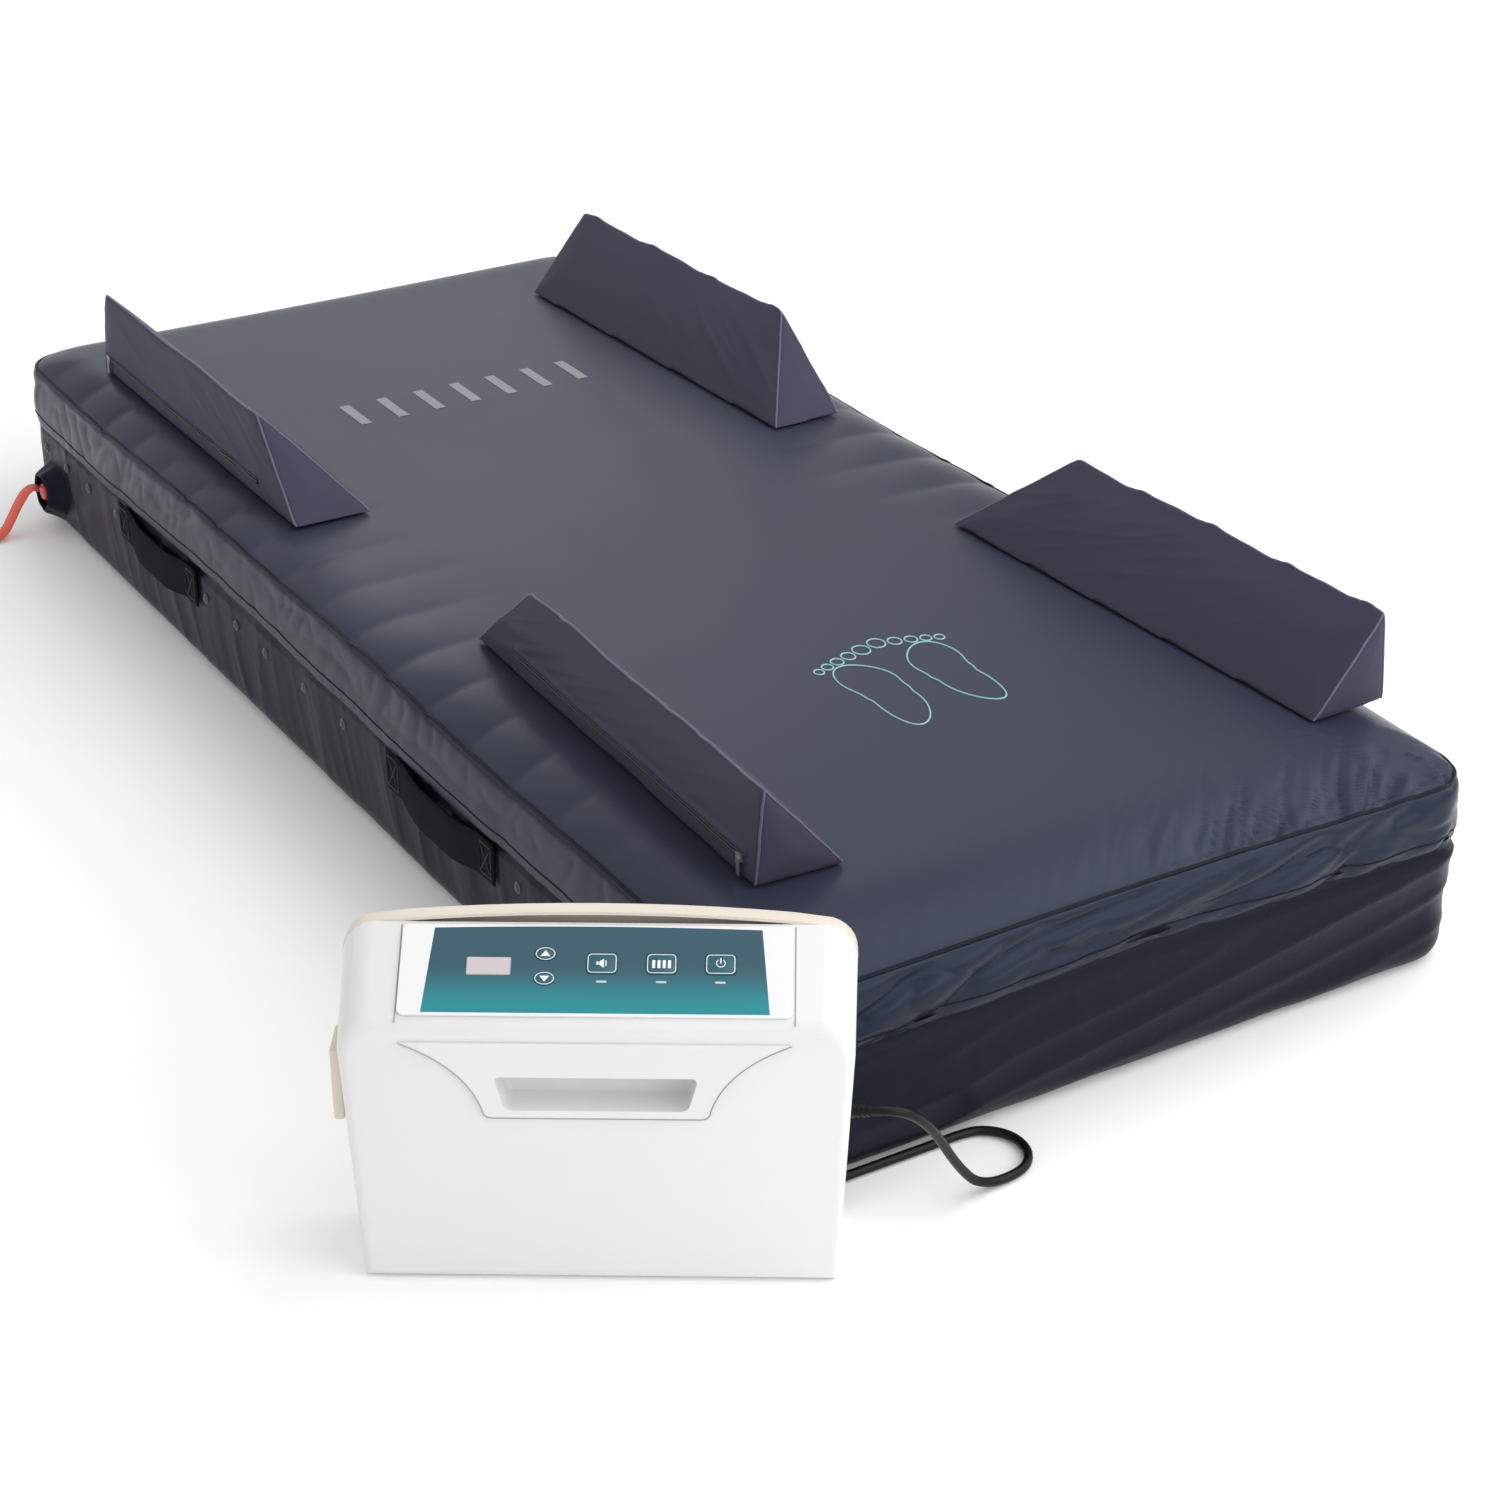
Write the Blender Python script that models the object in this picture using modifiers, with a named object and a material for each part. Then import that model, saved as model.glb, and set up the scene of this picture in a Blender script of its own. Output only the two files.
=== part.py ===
"""Pressure relief mattress with its alternating-pressure pump.

The origin is the centre of the mattress's underside. +Y points to the head end, +X to the
occupant's side away from the CPR valve, +Z up. The mattress and the pump stand on z = 0.
Lengths are in metres.
"""
import math

import bmesh
import bpy
from mathutils import Vector

GAP = 0.0003

# Mattress covers
MATTRESS_WIDTH = 0.914
MATTRESS_LENGTH = 2.032
MATTRESS_HEIGHT = 0.257
HEM_HEIGHT = 0.150
COVER_THICKNESS = 0.0025
COVER_CORNER = 0.052
COVER_ROLL = 0.020
BASE_INSET = 0.005
BASE_THICKNESS = 0.003
BASE_HEIGHT = 0.222
BASE_CORNER = 0.045

# Static base bladder under the cells
BLADDER_GAP = 0.0025
BLADDER_HEIGHT = 0.070
BLADDER_CORNER = 0.042
BLADDER_CHAMFER = 0.012
BLADDER_PORT_Y = -0.930

# Air cells, numbered from the head end; the first three are joined as the static pillow section
CELL_PITCH = 0.100
CELL_GAP = 0.0015
CELL_COUNT = 17
PILLOW_COUNT = 3
CELL_WALL = 0.0012
CELL_TOP = MATTRESS_HEIGHT - COVER_THICKNESS - 0.002
CELL_BOTTOM = BASE_THICKNESS + BLADDER_HEIGHT + 0.005
CELL_LEFT = -0.418
CELL_RIGHT = 0.440
CELL_ROUND = 0.018
CELL_END_CHAMFER = 0.012

# Feed tubes along the left side
TUBE_X = -0.434
TUBE_RADIUS = 0.0055
TUBE_BORE_RADIUS = 0.0038
TUBE_HEIGHTS = {"a": 0.118, "b": 0.138}
TUBE_FOOT_END = -0.985
PORT_RADIUS = 0.004
NIPPLE_RADIUS = 0.0028

# Hose coupling on the left side, near the foot
COUPLING_PORTS = {"a": -0.825, "b": -0.775}
COUPLING_PLATE = (0.004, 0.110, 0.052)
COUPLING_NOZZLE = 0.028
NOZZLE_RADIUS = 0.0060
NOZZLE_BORE = 0.0030
BARB_RADIUS = 0.0045
BARB_LENGTH = 0.0045
BARB_FIT = 0.0007
COUPLING_DROP = 0.010
COUPLING_EDGE = 0.0012
TUBE_END_CAP = 0.004
TUBE_PAST_PORT = 0.015
NIPPLE_REACH = 0.006
PORT_CUT = 0.005
CUT_REACH = 0.01

# CPR valve on the left side, near the head
CPR_Y = 0.925
CPR_Z = 0.060
CPR_FLANGE_RADIUS = 0.022
CPR_COLLAR_RADIUS = 0.0135
CPR_BORE_RADIUS = 0.0092
CPR_COLLAR_LENGTH = 0.016
CPR_PLUG_RADIUS = 0.0087
CPR_KNOB_RADIUS = 0.0120
CPR_FLANGE = 0.003
CPR_COLLAR_EDGE = 0.001
CPR_KNOB_TOP = 0.0065
CPR_KNOB_EDGE = 0.0045
CPR_KNOB_LIFT = 0.0005
CPR_KNOB_ROUND = 0.002
CPR_PLUG_TIP = 0.001
CPR_PLUG_TAPER = 0.003
STRAP_WIDTH = 0.025
STRAP_THICKNESS = 0.0016
STRAP_ROUTE = (
    (-0.4800, 0.930, 0.0640),
    (-0.4880, 0.932, 0.0665),
    (-0.4980, 0.933, 0.0620),
    (-0.5120, 0.932, 0.0460),
    (-0.5250, 0.931, 0.0260),
    (-0.5390, 0.930, 0.0085),
    (-0.5600, 0.929, 0.0022),
    (-0.6000, 0.926, 0.0016),
    (-0.6700, 0.921, 0.0014),
)

# Carry handles: webbing loops under the hem
HANDLE_WIDTH = 0.050
HANDLE_THICKNESS = 0.0025
HANDLE_LENGTH = 0.270
HANDLE_TAB = 0.036
HANDLE_BOW = 0.018
HANDLE_BOW_GAIN = 1.25
HANDLE_BOW_SHAPE = 0.8
HANDLE_TOP = 0.144
HANDLE_Y = {"head": 0.510, "foot": -0.335}
HANDLE_STANDOFF = 0.0025

# Side bolsters: wedges with an upright outer face, an upright end and a sloping end
WEDGE_WIDTH = 0.106
WEDGE_LENGTH = 0.655
WEDGE_HEIGHT = 0.112
WEDGE_LEAN = 0.010
WEDGE_SLOPE_RUN = 0.130
WEDGE_SKIN = 0.0014
WEDGE_CLEAR = 0.0005
WEDGE_EDGE = 0.004
FOAM_EDGE = 0.006
ZIP_HEIGHT = 0.024
ZIP_GAP = 0.005
ZIP_START = 0.018
ZIP_END = 0.545
ZIP_SLOT_REACH = 0.006
# zip slider: sizes are out of the face, along the zip and upwards
SLIDER_SIZE = (0.0030, 0.0110, 0.0085)
SLIDER_OUT = 0.0020
SLIDER_FROM_START = 0.010
TONGUE_SIZE = (0.0030, 0.0080, 0.0030)
TONGUE_IN = 0.0005
PULL_SIZE = (0.0013, 0.0060, 0.0200)
PULL_OUT = 0.0038
PULL_DROP = 0.0105
# name: x and y of the outer corner at the upright end, yaw in degrees, inward and lengthways signs
BOLSTERS = {
    "head_left": (-0.393, 0.845, 0.0, 1, -1),
    "head_right": (0.372, 0.820, 2.0, -1, -1),
    "foot_left": (-0.366, -0.862, -2.0, 1, 1),
    "foot_right": (0.446, -0.868, 2.5, -1, 1),
}

# Pump: its frame has X along the front, Y to the back, and stands at an angle to the mattress
PUMP_PLACE = (-0.6415, -1.0361, 0.0)
PUMP_TURN = -32.2
BASE_HALF = 0.2235
SIDE_FLARE = 0.0514
FOLD_HEIGHT = 0.282
FRONT_DEPTH = 0.095
REAR_DEPTH = 0.0165
DECK_SLOPE = math.radians(29.7)
HOUSING_WALL = 0.003
CHEEK_RADIUS = 0.034
NOSE_RADIUS = 0.011
DECK_RISE = FRONT_DEPTH * math.tan(DECK_SLOPE)
SHELL_TRIM = 0.004
ARCH_RISE = 0.013
ARCH_SHAPE = 0.7
SHOULDER_SWEEP = 72.0
REAR_EDGE = 0.003
LEAD_HOLE_RADIUS = 0.0084
LEAD_HOLE_FROM = 0.21
LEAD_HOLE_TO = 0.25
SHELL_CLEAR = 0.001
TRIM_HALF = 0.3
TRIM_DEPTH = 0.05
TRIM_LOW = -0.1
TRIM_HIGH = 0.5

# Fascia on the pump's front, with the grip
FASCIA_THICKNESS = 0.0025
FASCIA_TOP = 0.266
FASCIA_BOTTOM = 0.186
FASCIA_TOP_HALF = 0.178
FASCIA_BOTTOM_HALF = 0.104
FASCIA_WAIST = (0.118, 0.240)
FASCIA_CORNER = 0.008
GRIP_TOP = 0.230
GRIP_BOTTOM = 0.194
GRIP_TOP_HALF = 0.094
GRIP_BOTTOM_HALF = 0.084
GRIP_DEPTH = 0.034
GRIP_WALL = 0.0025
GRIP_EDGE = 0.006

# Control panel on the sloping deck; positions are across and up the deck from the front fold
PANEL_HALF = 0.180
PANEL_FROM = 0.011
PANEL_TO = 0.105
PANEL_THICKNESS = 0.0025
PANEL_CLEAR = 0.0005
PANEL_CORNER = 0.006
BUTTON_CORNER = 0.0045
BUTTON_EDGE = 0.0006
BUTTON_HOLE_DEPTH = 0.02
BUTTON_GAP = 0.0004
BUTTON_BOTTOM = 0.0013
BUTTON_TOP = 0.0037
# name: across, up, width, height, outline
BUTTONS = {
    "button_up": (-0.0475, 0.0745, 0.0196, 0.0142, "oval"),
    "button_down": (-0.0475, 0.0490, 0.0196, 0.0142, "oval"),
    "button_mute": (0.0045, 0.0650, 0.0286, 0.0218, "square"),
    "button_static": (0.0590, 0.0650, 0.0286, 0.0218, "square"),
    "button_power": (0.1130, 0.0650, 0.0286, 0.0218, "square"),
}

# Circuit board under the deck, in the deck's frame; chips are across, size
BOARD_SIZE = (0.290, 0.070, 0.0016)
BOARD_UP = 0.055
BOARD_HEIGHT = -0.0125
CHIP_TOP = -0.0130
CHIPS = {
    "controller": (-0.05, (0.024, 0.024, 0.003)),
    "relay": (0.06, (0.020, 0.016, 0.016)),
    "socket": (0.115, (0.030, 0.010, 0.012)),
}

# Linear compressor; heights are above the pump's floor
COMPRESSOR_X = 0.060
COMPRESSOR_Y = 0.050
MOTOR_SIZE = (0.120, 0.062, 0.060)
MOTOR_HEIGHT = 0.046
MOTOR_EDGE = 0.004
FOOT_SIZE = (0.150, 0.066, 0.006)
FOOT_HEIGHT = 0.003
POST_SIZE = (0.080, 0.040, 0.020)
POST_HEIGHT = 0.012
CAP_RADIUS = 0.024
CAP_FROM = -0.014
CAP_TO = 0.134
AIR_OUT_RADIUS = 0.005
AIR_OUT_X = 0.030
AIR_OUT_FROM = 0.070
AIR_OUT_TO = 0.088

# Air outlet block on the pump's left side
OUTLET_Y = 0.051
OUTLET_Z = 0.199
OUTLET_PLATE = (0.0108, 0.046, 0.078)
OUTLET_INNER_FACE = -0.2362
OUTLET_NECK = (0.030, 0.030, 0.058)
SOCKET_RADIUS = 0.0072
SOCKET_DEPTH = 0.018
SOCKET_SPACING = 0.034
ROTOR_RADIUS = 0.026
ROTOR_LENGTH = 0.044
OUTLET_EDGE = 0.003
NECK_OVERLAP = 0.002
ROTOR_OVERLAP = 0.004
OUTLET_HOLE_X = -0.232
OUTLET_HOLE_DEPTH = 0.04

# Power lead
CORD_RADIUS = 0.005
LEAD_Y = 0.060
LEAD_Z = 0.155
RELIEF_START = 0.2265
RELIEF_END = 0.2525
RELIEF_RIBS = 4
RELIEF_NECK = 0.006
RIB_RADIUS = 0.0062
RIB_SWELL = 0.0003
RIB_DEPTH = 0.0011
# where a rib ends, where the groove below it starts, and where that ends, in shares of the pitch
RIB_SHARES = (0.6, 0.65, 0.95)
RELIEF_FLANGE = 0.0079
RELIEF_FLANGE_GAP = 0.0002
# points of the lead in the pump's frame, from the strain relief to the coil
CORD_ROUTE = (
    (0.2531, 0.0600, 0.1550),
    (0.2690, 0.0602, 0.1548),
    (0.2850, 0.0640, 0.1500),
    (0.2990, 0.0728, 0.1370),
    (0.3109, 0.0855, 0.1175),
    (0.3229, 0.1018, 0.0900),
    (0.3352, 0.1179, 0.0600),
    (0.3484, 0.1335, 0.0330),
    (0.3605, 0.1434, 0.0165),
    (0.3777, 0.1555, 0.0070),
    (0.3978, 0.1698, 0.0053),
    (0.4114, 0.1862, 0.0053),
    (0.4152, 0.2072, 0.0053),
    (0.4081, 0.2274, 0.0053),
    (0.3924, 0.2413, 0.0053),
    (0.3713, 0.2459, 0.0053),
    (0.3509, 0.2394, 0.0053),
    (0.3128, 0.2154, 0.0053),
    (0.2747, 0.1914, 0.0053),
    (0.2367, 0.1675, 0.0053),
    (0.2100, 0.1505, 0.0053),
    (0.1860, 0.1378, 0.0053),
    (0.1500, 0.1292, 0.0053),
    (0.1000, 0.1268, 0.0053),
    (0.0400, 0.1265, 0.0053),
    (-0.0050, 0.1265, 0.0053),
)
CORD_STEP = 0.024
COIL_CENTRE = (-0.050, 0.2030)
COIL_INNER = 0.0385
COIL_OUTER = 0.0815
COIL_HEIGHT = 0.0204
COIL_EDGE = 0.004
PLUG_AT = (-0.1291, 0.2460, 0.0155)
PLUG_RADIUS = 0.0151
PLUG_FROM = 0.014
PLUG_TO = 0.050
PLUG_EDGE = 0.0025
PLUG_NECK_RADIUS = 0.0056
PLUG_NECK_TO = 0.016
BLADE_SIZE = (0.0015, 0.018, 0.0063)
BLADE_OFFSET = (0.00635, 0.0585, 0.003)
EARTH_RADIUS = 0.0024
EARTH_FROM = 0.048
EARTH_TO = 0.070
EARTH_DROP = 0.0085

# Folding hanger on the pump's back
HANGER_WIRE = 0.003
HANGER_HALF = 0.085
HANGER_Z = 0.302
HANGER_DROP = 0.076
HANGER_OFFSET = 0.0065
LUG_INNER = 0.066
LUG_OUTER = 0.078
LUG_BORE = 0.0035
LUG_HALF_HEIGHT = 0.007
LUG_PAST_PIN = 0.0055
LUG_ROOT = 0.001
LUG_BORE_REACH = 0.1
HANGER_TURN = 0.008
HANGER_TURN_CUT = 0.3
PIN_PAST_LUG = 0.004


# ---------------------------------------------------------------- helpers

def clear_scene():
    for obj in list(bpy.data.objects):
        bpy.data.objects.remove(obj, do_unlink=True)


def new_collection(name):
    collection = bpy.data.collections.new(name)
    bpy.context.scene.collection.children.link(collection)
    return collection


def principled(name, colour, roughness, metallic=0.0):
    material = bpy.data.materials.new(name)
    material.use_nodes = True
    shader = material.node_tree.nodes["Principled BSDF"]
    shader.inputs["Base Color"].default_value = (*colour, 1.0)
    shader.inputs["Roughness"].default_value = roughness
    shader.inputs["Metallic"].default_value = metallic
    return material


def add_part(name, mesh, material, location=(0, 0, 0), rotation=(0, 0, 0), parent=None):
    part = bpy.data.objects.new(name, mesh)
    part.location = location
    part.rotation_euler = rotation
    part.parent = parent
    if not mesh.materials:
        mesh.materials.append(material)
    PARTS.objects.link(part)
    return part


def add_tool(name, mesh, location=(0, 0, 0), rotation=(0, 0, 0), parent=None):
    """An object that only cuts or joins a part."""
    tool = bpy.data.objects.new(name, mesh)
    tool.location = location
    tool.rotation_euler = rotation
    tool.parent = parent
    tool.hide_render = True
    tool.display_type = "WIRE"
    TOOLS.objects.link(tool)
    return tool


def add_empty(name, location=(0, 0, 0), rotation=(0, 0, 0), parent=None):
    empty = bpy.data.objects.new(name, None)
    empty.location = location
    empty.rotation_euler = rotation
    empty.parent = parent
    PARTS.objects.link(empty)
    return empty


def mesh_from(bm, name):
    mesh = bpy.data.meshes.new(name)
    bm.to_mesh(mesh)
    bm.free()
    return mesh


def box_bm(size, centre=(0, 0, 0)):
    bm = bmesh.new()
    bmesh.ops.create_cube(bm, size=1.0)
    bmesh.ops.scale(bm, vec=size, verts=bm.verts)
    bmesh.ops.translate(bm, vec=centre, verts=bm.verts)
    return bm


def box_mesh(name, size, centre=(0, 0, 0)):
    return mesh_from(box_bm(size, centre), name)


def box_between(name, low, high):
    size = [b - a for a, b in zip(low, high)]
    centre = [(a + b) / 2 for a, b in zip(low, high)]
    return box_mesh(name, size, centre)


def bevel_edges(bm, edges, width, segments):
    bmesh.ops.bevel(bm, geom=edges, offset=width, segments=segments, profile=0.5, affect="EDGES")


def rod_bm(bm, radius, start, end, sides=12):
    """Adds a closed cylinder between two points to bm."""
    start = Vector(start)
    axis = Vector(end) - start
    turn = axis.to_track_quat("Z", "Y").to_matrix().to_4x4()
    turn.translation = start + axis / 2
    bmesh.ops.create_cone(bm, cap_ends=True, segments=sides, radius1=radius, radius2=radius,
                          depth=axis.length, matrix=turn)


def rods_mesh(name, rods, sides=12):
    bm = bmesh.new()
    for radius, start, end in rods:
        rod_bm(bm, radius, start, end, sides)
    return mesh_from(bm, name)


def cut(part, tool):
    modifier = part.modifiers.new("Cut", "BOOLEAN")
    modifier.operation = "DIFFERENCE"
    modifier.object = tool


def join(part, tool):
    modifier = part.modifiers.new("Join", "BOOLEAN")
    modifier.operation = "UNION"
    modifier.object = tool


def solidify(part, thickness):
    modifier = part.modifiers.new("Skin", "SOLIDIFY")
    modifier.thickness = thickness
    modifier.offset = -1.0
    modifier.use_even_offset = True


def bevel(part, width, segments, angle=30.0):
    modifier = part.modifiers.new("Bevel", "BEVEL")
    modifier.width = width
    modifier.segments = segments
    modifier.limit_method = "ANGLE"
    modifier.angle_limit = math.radians(angle)


def curve_to_mesh(curve_object, name):
    """The curve's evaluated shape as a welded mesh; the curve is removed."""
    graph = bpy.context.evaluated_depsgraph_get()
    mesh = bpy.data.meshes.new_from_object(curve_object.evaluated_get(graph))
    mesh.name = name
    bm = bmesh.new()
    bm.from_mesh(mesh)
    bmesh.ops.remove_doubles(bm, verts=bm.verts, dist=0.00001)
    bm.to_mesh(mesh)
    bm.free()
    bpy.data.objects.remove(curve_object, do_unlink=True)
    return mesh


def outline_mesh(name, points, thickness):
    """A flat plate with the given outline in XY, centred on z = 0."""
    curve = bpy.data.curves.new(name, "CURVE")
    curve.dimensions = "2D"
    curve.fill_mode = "BOTH"
    curve.extrude = thickness / 2
    spline = curve.splines.new("POLY")
    spline.points.add(len(points) - 1)
    for point, (x, y) in zip(spline.points, points):
        point.co = (x, y, 0.0, 1.0)
    spline.use_cyclic_u = True
    holder = bpy.data.objects.new(name + "_outline", curve)
    TOOLS.objects.link(holder)
    return curve_to_mesh(holder, name)


def wire_mesh(name, points, radius, resolution=2, cyclic=False):
    curve = bpy.data.curves.new(name, "CURVE")
    curve.dimensions = "3D"
    curve.bevel_depth = radius
    curve.bevel_resolution = resolution
    curve.use_fill_caps = True
    spline = curve.splines.new("POLY")
    spline.points.add(len(points) - 1)
    for point, place in zip(spline.points, points):
        point.co = (*place, 1.0)
    spline.use_cyclic_u = cyclic
    holder = bpy.data.objects.new(name + "_wire", curve)
    TOOLS.objects.link(holder)
    return curve_to_mesh(holder, name)


def profile_mesh(name, points, closed):
    bm = bmesh.new()
    verts = [bm.verts.new((x, 0.0, z)) for x, z in points]
    pairs = list(zip(verts, verts[1:]))
    if closed:
        pairs.append((verts[-1], verts[0]))
    for pair in pairs:
        bm.edges.new(pair)
    return mesh_from(bm, name)


def turned_part(name, points, material, steps=24, closed=False, **placing):
    """A profile of (radius, height) points, outer side from top to bottom, turned about Z."""
    part = add_part(name, profile_mesh(name, points, closed), material, **placing)
    screw = part.modifiers.new("Turn", "SCREW")
    screw.steps = steps
    screw.render_steps = steps
    screw.use_merge_vertices = True
    screw.merge_threshold = 0.00001
    screw.use_smooth_shade = True
    return part


def smooth_points(route, step):
    """Points about one step apart on a smooth curve through the route's points."""
    route = [Vector(point) for point in route]
    ends = [2 * route[0] - route[1], *route, 2 * route[-1] - route[-2]]
    points = [route[0]]
    for before, start, end, after in zip(ends, ends[1:], ends[2:], ends[3:]):
        count = max(1, round((end - start).length / step))
        for index in range(1, count + 1):
            t = index / count
            points.append(0.5 * (2 * start + (end - before) * t
                                 + (2 * before - 5 * start + 4 * end - after) * t ** 2
                                 + (3 * start - before - 3 * end + after) * t ** 3))
    return points


def arc(centre, radius, start, end, steps):
    """Points on an arc, with its angles in degrees."""
    angles = [math.radians(start + (end - start) * i / steps) for i in range(steps + 1)]
    return [(centre[0] + radius * math.cos(a), centre[1] + radius * math.sin(a)) for a in angles]


def soft_round(part, angle=35.0):
    part.data.shade_smooth()
    part.data.set_sharp_from_angle(angle=math.radians(angle))


# ---------------------------------------------------------------- mattress

def tub_mesh(name, size, corner, rim_radius, open_side):
    """A box with rounded corners in plan, open at the top or the bottom, other rim rounded."""
    bm = box_bm(size)
    upright = [e for e in bm.edges if abs(e.verts[0].co.z - e.verts[1].co.z) > size[2] / 2]
    bevel_edges(bm, upright, corner, 5)
    shut = -open_side * size[2] / 2
    if rim_radius:
        rim = [e for e in bm.edges if all(abs(v.co.z - shut) < 1e-5 for v in e.verts)]
        bevel_edges(bm, rim, rim_radius, 3)
    lid = [f for f in bm.faces if f.normal.z * open_side > 0.99]
    bmesh.ops.delete(bm, geom=lid, context="FACES")
    bmesh.ops.translate(bm, vec=(0, 0, size[2] / 2), verts=bm.verts)
    return mesh_from(bm, name)


def build_covers():
    top = add_part(
        "top_cover",
        tub_mesh("top_cover", (MATTRESS_WIDTH, MATTRESS_LENGTH, MATTRESS_HEIGHT - HEM_HEIGHT),
                 COVER_CORNER, COVER_ROLL, -1),
        TOP_FABRIC, location=(0, 0, HEM_HEIGHT))
    solidify(top, COVER_THICKNESS)
    width = MATTRESS_WIDTH - 2 * BASE_INSET
    length = MATTRESS_LENGTH - 2 * BASE_INSET
    base = add_part("base_cover",
                    tub_mesh("base_cover", (width, length, BASE_HEIGHT), BASE_CORNER, 0.0, 1),
                    BASE_FABRIC)
    solidify(base, BASE_THICKNESS)
    outside = -width / 2
    holes = [(BARB_RADIUS + BARB_FIT, (outside - CUT_REACH, y, TUBE_HEIGHTS[side]),
              (outside + CUT_REACH, y, TUBE_HEIGHTS[side]))
             for side, y in COUPLING_PORTS.items()]
    holes.append((CPR_BORE_RADIUS, (outside - CUT_REACH, CPR_Y, CPR_Z), (outside + CUT_REACH, CPR_Y, CPR_Z)))
    cut(base, add_tool("cover_holes", rods_mesh("cover_holes", holes)))


def build_base_bladder():
    """The static air layer that fills the base cover, with its filling port in the left side."""
    inset = BASE_INSET + BASE_THICKNESS + BLADDER_GAP
    size = (MATTRESS_WIDTH - 2 * inset, MATTRESS_LENGTH - 2 * inset, BLADDER_HEIGHT)
    bm = box_bm(size, (0, 0, BASE_THICKNESS + GAP + BLADDER_HEIGHT / 2))
    upright = [e for e in bm.edges if abs(e.verts[0].co.z - e.verts[1].co.z) > BLADDER_HEIGHT / 2]
    bevel_edges(bm, upright, BLADDER_CORNER, 4)
    rims = [e for e in bm.edges if abs(e.verts[0].co.z - e.verts[1].co.z) < 1e-6]
    bevel_edges(bm, rims, BLADDER_CHAMFER, 1)
    bladder = add_part("base_bladder", mesh_from(bm, "base_bladder"), BLADDER)
    solidify(bladder, CELL_WALL)
    side = -size[0] / 2
    port = rods_mesh("bladder_port", [(PORT_RADIUS, (side - CUT_REACH, BLADDER_PORT_Y, BLADDER_HEIGHT / 2),
                                       (side + CUT_REACH, BLADDER_PORT_Y, BLADDER_HEIGHT / 2))], 8)
    cut(bladder, add_tool("bladder_port", port))


def cell_centre(index):
    """The lengthways centre of a cell, counted from 0 at the head end."""
    return (CELL_COUNT + PILLOW_COUNT) * CELL_PITCH / 2 - (index + 0.5) * CELL_PITCH


def bladder_mesh(name, width):
    """A closed bladder along X with rounded long edges and chamfered ends."""
    length = CELL_RIGHT - CELL_LEFT
    height = CELL_TOP - CELL_BOTTOM
    bm = box_bm((length, width, height))
    long_edges = [e for e in bm.edges if abs(e.verts[0].co.x - e.verts[1].co.x) > length / 2]
    bevel_edges(bm, long_edges, CELL_ROUND, 2)
    end_edges = [e for e in bm.edges if abs(e.verts[0].co.x - e.verts[1].co.x) < 1e-6]
    bevel_edges(bm, end_edges, CELL_END_CHAMFER, 1)
    return mesh_from(bm, name)


def tube_side(index):
    """Cells are fed in turn by tube a and tube b; the pillow section by tube a."""
    return "a" if index < PILLOW_COUNT or index % 2 else "b"


def port_tool(name, y, side):
    height = TUBE_HEIGHTS[side]
    bore = (PORT_RADIUS, (CELL_LEFT - PORT_CUT, y, height), (CELL_LEFT + PORT_CUT, y, height))
    return add_tool(name, rods_mesh(name, [bore], 8))


def build_cells():
    place_x = (CELL_LEFT + CELL_RIGHT) / 2
    place_z = (CELL_TOP + CELL_BOTTOM) / 2
    width = CELL_PITCH - CELL_GAP
    shared = bladder_mesh("air_cell", width)
    for number in range(1, CELL_COUNT + 1):
        index = number + PILLOW_COUNT - 1
        y = cell_centre(index)
        name = f"air_cell_{number:02d}"
        cell = add_part(name, shared, BLADDER, location=(place_x, y, place_z))
        solidify(cell, CELL_WALL)
        cut(cell, port_tool(name + "_port", y, tube_side(index)))
    joined = bladder_mesh("pillow_lobe", CELL_PITCH + CELL_GAP)
    middle = cell_centre(PILLOW_COUNT // 2)
    pillow = add_part("pillow_cells", joined.copy(), BLADDER, location=(place_x, middle, place_z))
    for sign in (-1, 1):
        place = (place_x, middle + sign * width, place_z)
        join(pillow, add_tool(f"pillow_lobe_{sign}", joined, location=place))
    solidify(pillow, CELL_WALL)
    cut(pillow, port_tool("pillow_port", middle, "a"))


def build_feed_tube(side):
    height = TUBE_HEIGHTS[side]
    fed = [i for i in range(PILLOW_COUNT, PILLOW_COUNT + CELL_COUNT) if tube_side(i) == side]
    ports = [cell_centre(i) for i in fed]
    if side == "a":
        ports.append(cell_centre(1))
    head_end = max(ports) + TUBE_PAST_PORT
    name = f"feed_tube_{side}"
    pipe = rods_mesh(name, [(TUBE_RADIUS, (TUBE_X, TUBE_FOOT_END, height), (TUBE_X, head_end, height))], 10)
    tube = add_part(name, pipe, CLEAR_TUBE)
    nipples = [(NIPPLE_RADIUS, (TUBE_X, y, height), (CELL_LEFT + NIPPLE_REACH, y, height)) for y in ports]
    wall = -MATTRESS_WIDTH / 2 + BASE_INSET + BASE_THICKNESS
    branch_end = wall + BARB_LENGTH + GAP
    nipples.append((NIPPLE_RADIUS, (TUBE_X, COUPLING_PORTS[side], height),
                    (branch_end, COUPLING_PORTS[side], height)))
    join(tube, add_tool(name + "_nipples", rods_mesh(name + "_nipples", nipples, 8)))
    bore = rods_mesh(name + "_bore", [(TUBE_BORE_RADIUS, (TUBE_X, TUBE_FOOT_END - CUT_REACH, height),
                                       (TUBE_X, head_end - TUBE_END_CAP, height))], 10)
    cut(tube, add_tool(name + "_bore", bore))


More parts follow.
